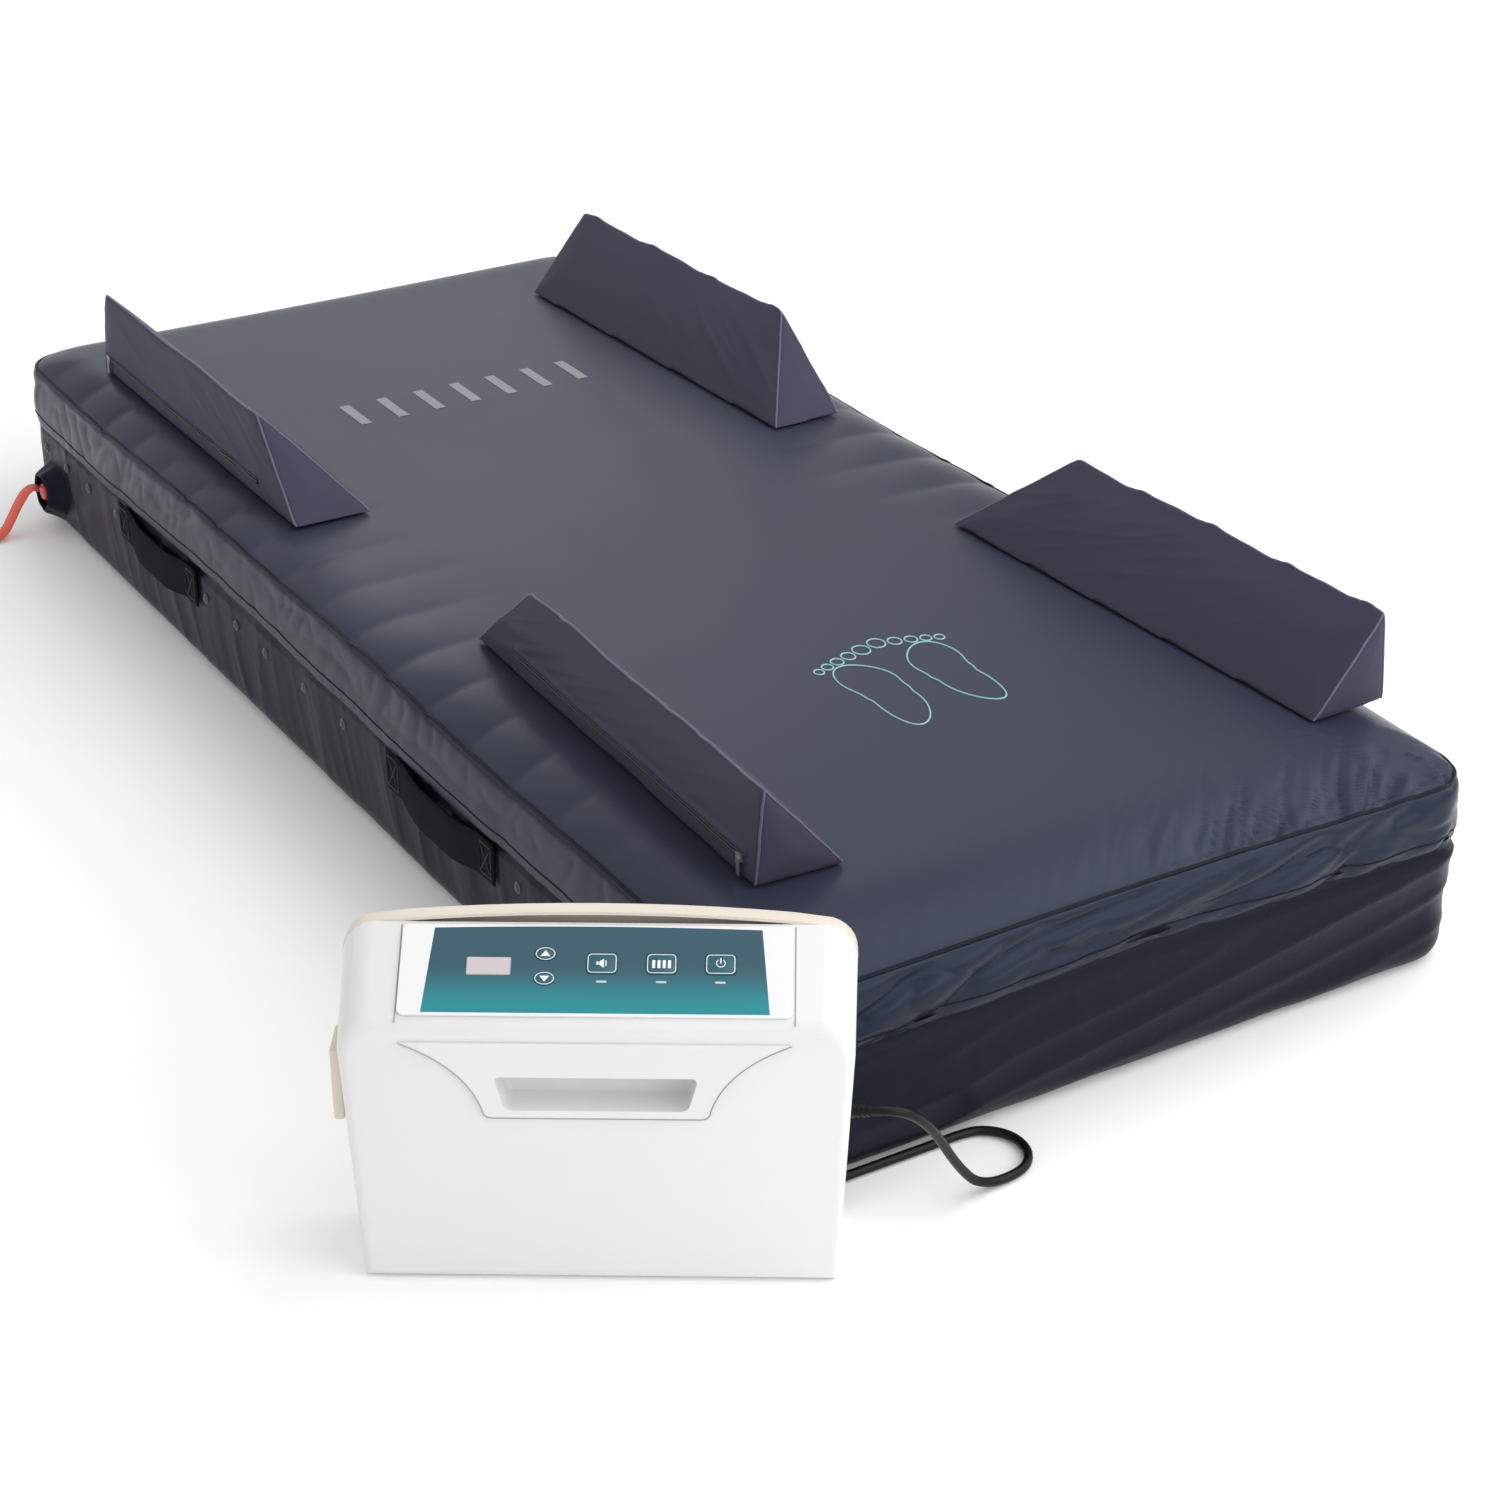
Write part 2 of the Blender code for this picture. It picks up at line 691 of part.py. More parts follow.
def build_hose_coupling():
    wall = -MATTRESS_WIDTH / 2 + BASE_INSET
    centre_y = sum(COUPLING_PORTS.values()) / 2
    centre_z = sum(TUBE_HEIGHTS.values()) / 2 - COUPLING_DROP
    plate_x = wall - GAP - COUPLING_PLATE[0] / 2
    plate = box_mesh("hose_coupling", COUPLING_PLATE)
    coupling = add_part("hose_coupling", plate, BLACK_PLASTIC, location=(plate_x, centre_y, centre_z))
    bevel(coupling, COUPLING_EDGE, 1)
    nozzle_end = plate_x - COUPLING_NOZZLE
    barb_end = wall + BASE_THICKNESS + BARB_LENGTH
    nozzles = []
    barbs = []
    bores = []
    for side, y in COUPLING_PORTS.items():
        z = TUBE_HEIGHTS[side]
        nozzles.append((NOZZLE_RADIUS, (nozzle_end, y, z), (plate_x, y, z)))
        barbs.append((BARB_RADIUS, (plate_x, y, z), (barb_end, y, z)))
        bores.append((NOZZLE_BORE, (nozzle_end - CUT_REACH, y, z), (barb_end + CUT_REACH, y, z)))
    join(coupling, add_tool("coupling_nozzles", rods_mesh("coupling_nozzles", nozzles, 16)))
    join(coupling, add_tool("coupling_barbs", rods_mesh("coupling_barbs", barbs)))
    cut(coupling, add_tool("coupling_bores", rods_mesh("coupling_bores", bores)))


def build_cpr_valve():
    """A flanged collar on the cover, a sliding plug in it and the plug's pull strap."""
    wall = -MATTRESS_WIDTH / 2 + BASE_INSET
    outward = (0, -math.pi / 2, 0)
    collar = [
        (CPR_BORE_RADIUS, CPR_FLANGE + CPR_COLLAR_LENGTH),
        (CPR_COLLAR_RADIUS - CPR_COLLAR_EDGE, CPR_FLANGE + CPR_COLLAR_LENGTH),
        (CPR_COLLAR_RADIUS, CPR_FLANGE + CPR_COLLAR_LENGTH - CPR_COLLAR_EDGE),
        (CPR_COLLAR_RADIUS, CPR_FLANGE),
        (CPR_FLANGE_RADIUS, CPR_FLANGE),
        (CPR_FLANGE_RADIUS, 0.0),
        (CPR_BORE_RADIUS, 0.0),
    ]
    place = (wall - GAP, CPR_Y, CPR_Z)
    turned_part("cpr_valve", collar, BLACK_PLASTIC, closed=True, location=place, rotation=outward)
    mouth = CPR_FLANGE + CPR_COLLAR_LENGTH
    plug = [
        (0.0, mouth + CPR_KNOB_TOP),
        (CPR_KNOB_RADIUS - CPR_KNOB_ROUND, mouth + CPR_KNOB_TOP),
        (CPR_KNOB_RADIUS, mouth + CPR_KNOB_EDGE),
        (CPR_KNOB_RADIUS, mouth + CPR_KNOB_LIFT),
        (CPR_PLUG_RADIUS, mouth + CPR_KNOB_LIFT),
        (CPR_PLUG_RADIUS, CPR_PLUG_TAPER),
        (CPR_PLUG_RADIUS - CPR_PLUG_TIP, CPR_PLUG_TIP),
        (0.0, CPR_PLUG_TIP),
    ]
    turned_part("cpr_plug", plug, RED_PLASTIC, location=place, rotation=outward)
    strap = add_part("cpr_strap", strip_mesh("cpr_strap", STRAP_ROUTE, STRAP_WIDTH), RED_WEBBING)
    solidify(strap, STRAP_THICKNESS)
    strap.modifiers["Skin"].offset = 1.0


def strip_mesh(name, route, width):
    """A level strip of webbing whose centre line follows the route."""
    bm = bmesh.new()
    edges = []
    for index, place in enumerate(route):
        before = Vector(route[max(index - 1, 0)])
        after = Vector(route[min(index + 1, len(route) - 1)])
        along = (after - before).normalized()
        across = along.cross(Vector((0, 0, 1))).normalized() * (width / 2)
        ends = [bm.verts.new(Vector(place) + across), bm.verts.new(Vector(place) - across)]
        edges.append(bm.edges.new(ends))
    for first, second in zip(edges, edges[1:]):
        bmesh.ops.contextual_create(bm, geom=[first, second])
    bmesh.ops.recalc_face_normals(bm, faces=bm.faces)
    if sum(face.normal.z for face in bm.faces) < 0:
        bmesh.ops.reverse_faces(bm, faces=bm.faces)
    return mesh_from(bm, name)


def handle_mesh():
    """Webbing that lies against the side at both ends and bows out between, hung from Y."""
    half = HANDLE_LENGTH / 2
    path = [(0.0, -half), (0.0, -half + HANDLE_TAB)]
    steps = 10
    span = 2 * (half - HANDLE_TAB)
    for index in range(1, steps):
        t = index / steps
        bow = HANDLE_BOW * min(1.0, HANDLE_BOW_GAIN * math.sin(math.pi * t) ** HANDLE_BOW_SHAPE)
        path.append((bow, -span / 2 + span * t))
    path += [(0.0, half - HANDLE_TAB), (0.0, half)]
    bm = bmesh.new()
    verts = [bm.verts.new((x, y, 0.0)) for x, y in path]
    edges = [bm.edges.new(pair) for pair in zip(verts, verts[1:])]
    moved = bmesh.ops.extrude_edge_only(bm, edges=edges)["geom"]
    lower = [item for item in moved if isinstance(item, bmesh.types.BMVert)]
    bmesh.ops.translate(bm, vec=(0, 0, -HANDLE_WIDTH), verts=lower)
    bmesh.ops.recalc_face_normals(bm, faces=bm.faces)
    if sum(face.normal.x for face in bm.faces) < 0:
        bmesh.ops.reverse_faces(bm, faces=bm.faces)
    return mesh_from(bm, "carry_handle")


def build_handles():
    shared = handle_mesh()
    wall = MATTRESS_WIDTH / 2
    for side, sign in (("left", -1), ("right", 1)):
        for end, y in HANDLE_Y.items():
            turn = (0, 0, math.pi if sign < 0 else 0.0)
            place = (sign * (wall + HANDLE_STANDOFF), y, HANDLE_TOP)
            handle = add_part(f"carry_handle_{end}_{side}", shared, WEBBING, location=place, rotation=turn)
            solidify(handle, HANDLE_THICKNESS)
            handle.modifiers["Skin"].offset = 1.0


# ---------------------------------------------------------------- bolsters

def wedge_mesh(name, inward, lengthways, inset):
    """A wedge whose outer lower edge runs from the origin; inset shrinks it all round."""
    corners = [(0.0, 0.0), (WEDGE_WIDTH, 0.0), (WEDGE_LEAN, WEDGE_HEIGHT)]
    sides = [math.dist(corners[1], corners[2]), math.dist(corners[0], corners[2]), WEDGE_WIDTH]
    around = sum(sides)
    centre_x = sum(s * c[0] for s, c in zip(sides, corners)) / around
    centre_z = sum(s * c[1] for s, c in zip(sides, corners)) / around
    inner_radius = WEDGE_WIDTH * WEDGE_HEIGHT / around
    shrink = (inner_radius - inset) / inner_radius
    slope_shift = inset * math.hypot(WEDGE_HEIGHT, WEDGE_SLOPE_RUN) / WEDGE_HEIGHT
    bm = bmesh.new()
    bmesh.ops.create_cone(bm, cap_ends=True, segments=3, radius1=1.0, radius2=1.0, depth=2.0)
    order = sorted({round(math.atan2(v.co.y, v.co.x), 3) for v in bm.verts})
    for vert in bm.verts:
        corner = corners[order.index(round(math.atan2(vert.co.y, vert.co.x), 3))]
        x = centre_x + (corner[0] - centre_x) * shrink
        z = centre_z + (corner[1] - centre_z) * shrink
        y = inset
        if vert.co.z > 0:
            y = WEDGE_LENGTH - WEDGE_SLOPE_RUN * z / WEDGE_HEIGHT - slope_shift
        vert.co = (inward * x, lengthways * y, z)
    if bm.calc_volume(signed=True) < 0:
        bmesh.ops.reverse_faces(bm, faces=bm.faces)
    return mesh_from(bm, name)


def build_bolster(label, x, y, yaw, inward, lengthways):
    seat = MATTRESS_HEIGHT + GAP
    holder = add_empty(f"bolster_{label}", (x, y, seat), (0, 0, math.radians(yaw)))
    cover = add_part(f"bolster_cover_{label}", wedge_mesh("bolster_cover", inward, lengthways, 0.0),
                     BOLSTER_FABRIC, parent=holder)
    bevel(cover, WEDGE_EDGE, 2)
    solidify(cover, WEDGE_SKIN)
    start, end = sorted((lengthways * ZIP_START, lengthways * ZIP_END))
    near, far = sorted((-inward * ZIP_SLOT_REACH, inward * ZIP_SLOT_REACH))
    slot = box_between("zip_slot", (near, start, ZIP_HEIGHT - ZIP_GAP / 2),
                       (far, end, ZIP_HEIGHT + ZIP_GAP / 2))
    cut(cover, add_tool(f"zip_slot_{label}", slot, parent=holder))
    foam = wedge_mesh("bolster_foam", inward, lengthways, WEDGE_SKIN + WEDGE_CLEAR)
    core = add_part(f"bolster_foam_{label}", foam, FOAM, parent=holder)
    bevel(core, FOAM_EDGE, 2)
    build_zip_slider(label, holder, inward, lengthways)


def build_zip_slider(label, holder, inward, lengthways):
    """A slider with its pull, at the upright end of the zip, where the zip is shut."""
    body = box_mesh("zip_slider", SLIDER_SIZE, (-inward * SLIDER_OUT, 0, 0))
    place = (0, lengthways * (ZIP_START + SLIDER_FROM_START), ZIP_HEIGHT)
    slider = add_part(f"zip_slider_{label}", body, ZIP_METAL, location=place, parent=holder)
    tongue = box_mesh("zip_tongue", TONGUE_SIZE, (inward * TONGUE_IN, 0, 0))
    join(slider, add_tool(f"zip_tongue_{label}", tongue, location=place, parent=holder))
    pull = box_mesh("zip_pull", PULL_SIZE, (-inward * PULL_OUT, 0, -PULL_DROP))
    join(slider, add_tool(f"zip_pull_{label}", pull, location=place, parent=holder))


# ---------------------------------------------------------------- pump

def housing_mesh():
    """The front shell: sides flare upwards, the deck slopes back from the front fold."""
    bm = box_bm((2.0, 1.0, 1.0), (0.0, 0.5, 0.5))
    depth = FRONT_DEPTH + SHELL_TRIM
    for vert in bm.verts:
        back = vert.co.y > 0.5
        z = 0.0
        if vert.co.z > 0.5:
            z = FOLD_HEIGHT + (depth * math.tan(DECK_SLOPE) if back else 0.0)
        side = math.copysign(BASE_HALF + SIDE_FLARE * z, vert.co.x)
        vert.co = (side, depth if back else 0.0, z)
    cheeks = [e for e in bm.edges if all(v.co.z > 0.2 for v in e.verts)
              and abs(e.verts[0].co.y - e.verts[1].co.y) > 0.05]
    bevel_edges(bm, cheeks, CHEEK_RADIUS, 5)
    nose = [e for e in bm.edges if all(v.co.y < 1e-5 for v in e.verts)]
    bevel_edges(bm, nose, NOSE_RADIUS, 3)
    rear = [f for f in bm.faces if f.normal.y > 0.99]
    bmesh.ops.delete(bm, geom=rear, context="FACES")
    return mesh_from(bm, "pump_front_housing")


def build_front_housing(pump):
    shell = add_part("pump_front_housing", housing_mesh(), WHITE_PLASTIC, parent=pump)
    solidify(shell, HOUSING_WALL)
    soft_round(shell)
    trim = box_between("rear_trim", (-TRIM_HALF, FRONT_DEPTH, TRIM_LOW),
                       (TRIM_HALF, FRONT_DEPTH + TRIM_DEPTH, TRIM_HIGH))
    cut(shell, add_tool("rear_trim", trim, parent=pump))
    reach = GRIP_WALL + SHELL_CLEAR
    opening = box_between("grip_opening",
                          (-GRIP_TOP_HALF - reach, -CUT_REACH, GRIP_BOTTOM - reach),
                          (GRIP_TOP_HALF + reach, CUT_REACH, GRIP_TOP + reach))
    cut(shell, add_tool("grip_opening", opening, parent=pump))
    lead_hole = rods_mesh("lead_hole", [(LEAD_HOLE_RADIUS, (LEAD_HOLE_FROM, LEAD_Y, LEAD_Z),
                                         (LEAD_HOLE_TO, LEAD_Y, LEAD_Z))], 16)
    cut(shell, add_tool("lead_hole", lead_hole, parent=pump))
    neck = box_mesh("outlet_hole",
                    (OUTLET_HOLE_DEPTH, OUTLET_NECK[1] + SHELL_CLEAR, OUTLET_NECK[2] + SHELL_CLEAR),
                    (OUTLET_HOLE_X, OUTLET_Y, OUTLET_Z))
    cut(shell, add_tool("outlet_hole", neck, parent=pump))


def rear_outline():
    """Half-width follows the flare up to the rounded shoulders, with an arched top."""
    shoulder = FOLD_HEIGHT + DECK_RISE
    side_top = shoulder - CHEEK_RADIUS
    half = BASE_HALF + SIDE_FLARE * side_top
    right = arc((half - CHEEK_RADIUS, side_top), CHEEK_RADIUS, 0.0, SHOULDER_SWEEP, 6)
    left = [(-x, z) for x, z in reversed(right)]
    start_x, start_z = right[-1]
    steps = 12
    crown = []
    for index in range(1, steps):
        t = index / steps
        crown.append((start_x * (1 - 2 * t), start_z + ARCH_RISE * math.sin(math.pi * t) ** ARCH_SHAPE))
    return [(-BASE_HALF, 0.0), (BASE_HALF, 0.0), *right, *crown, *left]


def build_rear_housing(pump):
    outline = rear_outline()
    back = FRONT_DEPTH + GAP + REAR_DEPTH
    upright = (math.pi / 2, 0, 0)
    shell = add_part("pump_rear_housing", outline_mesh("pump_rear_housing", outline, REAR_DEPTH),
                     CREAM_PLASTIC, location=(0, back - REAR_DEPTH / 2, 0), rotation=upright, parent=pump)
    bevel(shell, REAR_EDGE, 2, 60.0)
    soft_round(shell)
    middle = 0.5 * (FOLD_HEIGHT + DECK_RISE)
    shrink = 1.0 - 2 * HOUSING_WALL / (FOLD_HEIGHT + DECK_RISE)
    hollow = [(x * shrink, middle + (z - middle) * shrink) for x, z in outline]
    pocket = add_tool("rear_pocket", outline_mesh("rear_pocket", hollow, REAR_DEPTH),
                      location=(0, back - HOUSING_WALL - REAR_DEPTH / 2, 0), rotation=upright, parent=pump)
    cut(shell, pocket)
    for sign in (-1, 1):
        low, high = sorted((sign * LUG_INNER, sign * LUG_OUTER))
        lug = box_between("hanger_lug", (low, back - LUG_ROOT, HANGER_Z - LUG_HALF_HEIGHT),
                          (high, back + HANGER_OFFSET + LUG_PAST_PIN, HANGER_Z + LUG_HALF_HEIGHT))
        join(shell, add_tool(f"hanger_lug_{sign}", lug, parent=pump))
    bores = rods_mesh("lug_bores", [(LUG_BORE, (-LUG_BORE_REACH, back + HANGER_OFFSET, HANGER_Z),
                                     (LUG_BORE_REACH, back + HANGER_OFFSET, HANGER_Z))], 16)
    cut(shell, add_tool("lug_bores", bores, parent=pump))


def build_hanger(pump):
    """A wire bail that hangs flat on the back and swings out to hook on a bed end."""
    back = FRONT_DEPTH + GAP + REAR_DEPTH
    pin = LUG_INNER - PIN_PAST_LUG
    straight = HANGER_HALF - HANGER_TURN
    near = HANGER_TURN_CUT * HANGER_TURN
    right = [(pin, 0, 0), (straight, 0, 0), (HANGER_HALF - near, 0, -near),
             (HANGER_HALF, 0, -HANGER_TURN), (HANGER_HALF, 0, HANGER_TURN - HANGER_DROP),
             (HANGER_HALF - near, 0, near - HANGER_DROP), (straight, 0, -HANGER_DROP)]
    left = [(-x, y, z) for x, y, z in reversed(right)]
    add_part("hanger", wire_mesh("hanger", right + left, HANGER_WIRE), STEEL,
             location=(0, back + HANGER_OFFSET, HANGER_Z), parent=pump)


def fascia_outline():
    """The top corners run down in a hollow curve to the narrower foot."""
    steps = 8
    corner_z = FASCIA_BOTTOM + FASCIA_CORNER
    side = []
    for index in range(steps + 1):
        t = index / steps
        x = (1 - t) ** 2 * FASCIA_TOP_HALF + 2 * t * (1 - t) * FASCIA_WAIST[0] + t ** 2 * FASCIA_BOTTOM_HALF
        z = (1 - t) ** 2 * FASCIA_TOP + 2 * t * (1 - t) * FASCIA_WAIST[1] + t ** 2 * corner_z
        side.append((x, z))
    foot = arc((FASCIA_BOTTOM_HALF - FASCIA_CORNER, corner_z), FASCIA_CORNER, 0.0, -90.0, 3)
    right = side + foot[1:]
    left = [(-x, z) for x, z in reversed(right)]
    return right + left


def grip_outline(margin):
    right = [(GRIP_TOP_HALF + margin, GRIP_TOP + margin), (GRIP_BOTTOM_HALF + margin, GRIP_BOTTOM - margin)]
    return right + [(-x, z) for x, z in reversed(right)]


def build_fascia(pump):
    upright = (math.pi / 2, 0, 0)
    middle = -GAP - FASCIA_THICKNESS / 2
    plate = outline_mesh("pump_fascia", fascia_outline(), FASCIA_THICKNESS)
    fascia = add_part("pump_fascia", plate, WHITE_PLASTIC, location=(0, middle, 0), rotation=upright,
                      parent=pump)
    depth = GRIP_DEPTH + GRIP_WALL
    cup = add_tool("grip_cup", outline_mesh("grip_cup", grip_outline(GRIP_WALL), depth),
                   location=(0, middle + depth / 2, 0), rotation=upright, parent=pump)
    join(fascia, cup)
    front = -GAP - FASCIA_THICKNESS
    hollow = add_tool("grip_hollow", outline_mesh("grip_hollow", grip_outline(0.0), GRIP_DEPTH + CUT_REACH),
                      location=(0, front + (GRIP_DEPTH - CUT_REACH) / 2, 0), rotation=upright, parent=pump)
    bevel(hollow, GRIP_EDGE, 3, 60.0)
    cut(fascia, hollow)


def oval_mesh(name, width, height, thickness):
    bm = bmesh.new()
    bmesh.ops.create_cone(bm, cap_ends=True, segments=20, radius1=0.5, radius2=0.5, depth=1.0)
    bmesh.ops.scale(bm, vec=(width, height, thickness), verts=bm.verts)
    return mesh_from(bm, name)


def rounded_plate_mesh(name, width, height, thickness):
    bm = box_bm((width, height, thickness))
    upright = [e for e in bm.edges if abs(e.verts[0].co.z - e.verts[1].co.z) > thickness / 2]
    bevel_edges(bm, upright, BUTTON_CORNER, 3)
    return mesh_from(bm, name)


def button_mesh(name, outline, width, height, thickness):
    maker = oval_mesh if outline == "oval" else rounded_plate_mesh
    return maker(name, width, height, thickness)


def build_control_panel(pump):
    deck = add_empty("deck", (0, 0, FOLD_HEIGHT), (DECK_SLOPE, 0, 0), pump)
    bm = box_bm((2 * PANEL_HALF, PANEL_TO - PANEL_FROM, PANEL_THICKNESS),
                (0, (PANEL_FROM + PANEL_TO) / 2, PANEL_CLEAR + PANEL_THICKNESS / 2))
    upright = [e for e in bm.edges if abs(e.verts[0].co.z - e.verts[1].co.z) > PANEL_THICKNESS / 2]
    bevel_edges(bm, upright, PANEL_CORNER, 3)
    panel = add_part("control_panel", mesh_from(bm, "control_panel"), TEAL_FILM, parent=deck)
    for name, (across, up, width, height, outline) in BUTTONS.items():
        hole = button_mesh(name + "_hole", outline, width + 2 * BUTTON_GAP, height + 2 * BUTTON_GAP,
                           BUTTON_HOLE_DEPTH)
        cut(panel, add_tool(name + "_hole", hole, location=(across, up, 0), parent=deck))
        cap = button_mesh(name, outline, width, height, BUTTON_TOP - BUTTON_BOTTOM)
        button = add_part(name, cap, GREY_RUBBER,
                          location=(across, up, (BUTTON_BOTTOM + BUTTON_TOP) / 2), parent=deck)
        bevel(button, BUTTON_EDGE, 2, 50.0)
    build_circuit_board(deck)


def build_circuit_board(deck):
    """The board under the deck, with a controller, a relay and a connector on its lower side."""
    bm = box_bm(BOARD_SIZE, (0, BOARD_UP, BOARD_HEIGHT))
    board = add_part("circuit_board", mesh_from(bm, "circuit_board"), BOARD_GREEN, parent=deck)
    for label, (across, size) in CHIPS.items():
        chip = box_mesh(label, size, (across, BOARD_UP, CHIP_TOP - size[2] / 2))
        join(board, add_tool(label, chip, parent=deck))


def build_compressor(pump):
    """A linear air compressor: a body with a rounded cap at each end and a foot plate."""
    floor = HOUSING_WALL + GAP
    body = box_mesh("compressor", MOTOR_SIZE, (COMPRESSOR_X, COMPRESSOR_Y, floor + MOTOR_HEIGHT))
    compressor = add_part("compressor", body, DARK_METAL, parent=pump)
    bevel(compressor, MOTOR_EDGE, 2)
    foot = box_mesh("compressor_foot", FOOT_SIZE, (COMPRESSOR_X, COMPRESSOR_Y, floor + FOOT_HEIGHT))
    post = box_mesh("compressor_post", POST_SIZE, (COMPRESSOR_X, COMPRESSOR_Y, floor + POST_HEIGHT))
    caps = rods_mesh("compressor_caps", [(CAP_RADIUS, (CAP_FROM, COMPRESSOR_Y, floor + MOTOR_HEIGHT),
                                          (CAP_TO, COMPRESSOR_Y, floor + MOTOR_HEIGHT))], 20)
    outlet = rods_mesh("compressor_outlet",
                       [(AIR_OUT_RADIUS, (AIR_OUT_X, COMPRESSOR_Y, floor + AIR_OUT_FROM),
                         (AIR_OUT_X, COMPRESSOR_Y, floor + AIR_OUT_TO))])
    for label, mesh in (("foot", foot), ("post", post), ("caps", caps), ("outlet", outlet)):
        join(compressor, add_tool(f"compressor_{label}", mesh, parent=pump))


def build_outlet_block(pump):
    """The hose outlets: a block on the left side, joined by a neck to the rotary valve inside."""
    centre = (OUTLET_INNER_FACE - OUTLET_PLATE[0] / 2, OUTLET_Y, OUTLET_Z)
    block = add_part("air_outlet_block", box_mesh("air_outlet_block", OUTLET_PLATE, centre),
                     CREAM_PLASTIC, parent=pump)
    bevel(block, OUTLET_EDGE, 2)
    neck = box_mesh("outlet_neck", OUTLET_NECK,
                    (OUTLET_INNER_FACE + OUTLET_NECK[0] / 2 - NECK_OVERLAP, OUTLET_Y, OUTLET_Z))
    join(block, add_tool("outlet_neck", neck, parent=pump))
    rotor_start = OUTLET_INNER_FACE + OUTLET_NECK[0] - ROTOR_OVERLAP
    rotor = rods_mesh("outlet_rotor", [(ROTOR_RADIUS, (rotor_start, OUTLET_Y, OUTLET_Z),
                                        (rotor_start + ROTOR_LENGTH, OUTLET_Y, OUTLET_Z))], 24)
    join(block, add_tool("outlet_rotor", rotor, parent=pump))
    mouth = OUTLET_INNER_FACE - OUTLET_PLATE[0]
    sockets = [(SOCKET_RADIUS, (mouth - CUT_REACH, OUTLET_Y, OUTLET_Z + sign * SOCKET_SPACING / 2),
                (mouth + SOCKET_DEPTH, OUTLET_Y, OUTLET_Z + sign * SOCKET_SPACING / 2))
               for sign in (-1, 1)]
    cut(block, add_tool("outlet_sockets", rods_mesh("outlet_sockets", sockets, 20), parent=pump))


# ---------------------------------------------------------------- power lead

def build_strain_relief(pump):
    """A ribbed boot, turned about the lead."""
    length = RELIEF_END - RELIEF_START
    rib_step = (length - RELIEF_NECK) / RELIEF_RIBS
    rib_end, groove_start, groove_end = RIB_SHARES
    profile = [(0.0, length)]
    for index in range(RELIEF_RIBS):
        top = length - index * rib_step
        swell = RIB_RADIUS + RIB_SWELL * index
        profile += [(swell, top), (swell, top - rib_end * rib_step),
                    (swell - RIB_DEPTH, top - groove_start * rib_step),
                    (swell - RIB_DEPTH, top - groove_end * rib_step)]
    profile += [(RELIEF_FLANGE, RELIEF_NECK - RELIEF_FLANGE_GAP), (RELIEF_FLANGE, 0.0), (0.0, 0.0)]
    turned_part("strain_relief", profile, BLACK_RUBBER, steps=14, parent=pump,
                location=(RELIEF_START, LEAD_Y, LEAD_Z), rotation=(0, math.pi / 2, 0))


def build_cord(pump):
    points = smooth_points(CORD_ROUTE, CORD_STEP)
    add_part("power_cord", wire_mesh("power_cord", points, CORD_RADIUS, 2), BLACK_RUBBER, parent=pump)
    edge = COIL_EDGE
    low = GAP
    high = GAP + COIL_HEIGHT
    ring = [
        (COIL_INNER + edge, high),
        (COIL_OUTER - edge, high),
        (COIL_OUTER, high - edge),
        (COIL_OUTER, low + edge),
        (COIL_OUTER - edge, low),
        (COIL_INNER + edge, low),
        (COIL_INNER, low + edge),
        (COIL_INNER, high - edge),
    ]
    turned_part("cord_coil", ring, BLACK_RUBBER, steps=28, closed=True, parent=pump,
                location=(*COIL_CENTRE, 0))


def build_plug(pump):
    """A three-pin plug lying on the floor, its neck towards the coil, its pins to +Y."""
    body = rods_mesh("plug", [(PLUG_RADIUS, (0, PLUG_FROM, 0), (0, PLUG_TO, 0))], 20)
    plug = add_part("plug", body, BLACK_PLASTIC, location=PLUG_AT, parent=pump)
    bevel(plug, PLUG_EDGE, 2, 50.0)
    neck = rods_mesh("plug_neck", [(PLUG_NECK_RADIUS, (0, 0, 0), (0, PLUG_NECK_TO, 0))], 16)
    join(plug, add_tool("plug_neck", neck, location=PLUG_AT, parent=pump))
    for sign in (-1, 1):
        blade = box_mesh("plug_blade", BLADE_SIZE, (sign * BLADE_OFFSET[0], *BLADE_OFFSET[1:]))
        join(plug, add_tool(f"plug_blade_{sign}", blade, location=PLUG_AT, parent=pump))
    earth = rods_mesh("plug_earth", [(EARTH_RADIUS, (0, EARTH_FROM, -EARTH_DROP),
                                      (0, EARTH_TO, -EARTH_DROP))])
    join(plug, add_tool("plug_earth", earth, location=PLUG_AT, parent=pump))


clear_scene()
PARTS = new_collection("pressure_relief_mattress")
TOOLS = new_collection("cutters")

TOP_FABRIC = principled("stretch_cover", (0.070, 0.080, 0.105), 0.55)
BASE_FABRIC = principled("base_cover_fabric", (0.024, 0.024, 0.031), 0.60)
BOLSTER_FABRIC = principled("bolster_fabric", (0.072, 0.068, 0.105), 0.60)
FOAM = principled("foam", (0.75, 0.68, 0.45), 0.95)
BLADDER = principled("cell_film", (0.08, 0.15, 0.32), 0.45)
CLEAR_TUBE = principled("tube_pvc", (0.72, 0.75, 0.76), 0.30)
BLACK_PLASTIC = principled("black_plastic", (0.015, 0.015, 0.016), 0.40)
RED_PLASTIC = principled("red_plastic", (0.65, 0.04, 0.03), 0.40)
RED_WEBBING = principled("red_webbing", (0.80, 0.13, 0.08), 0.80)
WEBBING = principled("black_webbing", (0.010, 0.010, 0.012), 0.85)
ZIP_METAL = principled("zip_black", (0.02, 0.02, 0.022), 0.35, 0.6)
WHITE_PLASTIC = principled("white_abs", (0.82, 0.82, 0.82), 0.35)
CREAM_PLASTIC = principled("cream_abs", (0.76, 0.69, 0.62), 0.45)
TEAL_FILM = principled("panel_film", (0.02, 0.21, 0.27), 0.35)
GREY_RUBBER = principled("button_film", (0.62, 0.66, 0.68), 0.40)
BOARD_GREEN = principled("board_green", (0.02, 0.16, 0.05), 0.50)
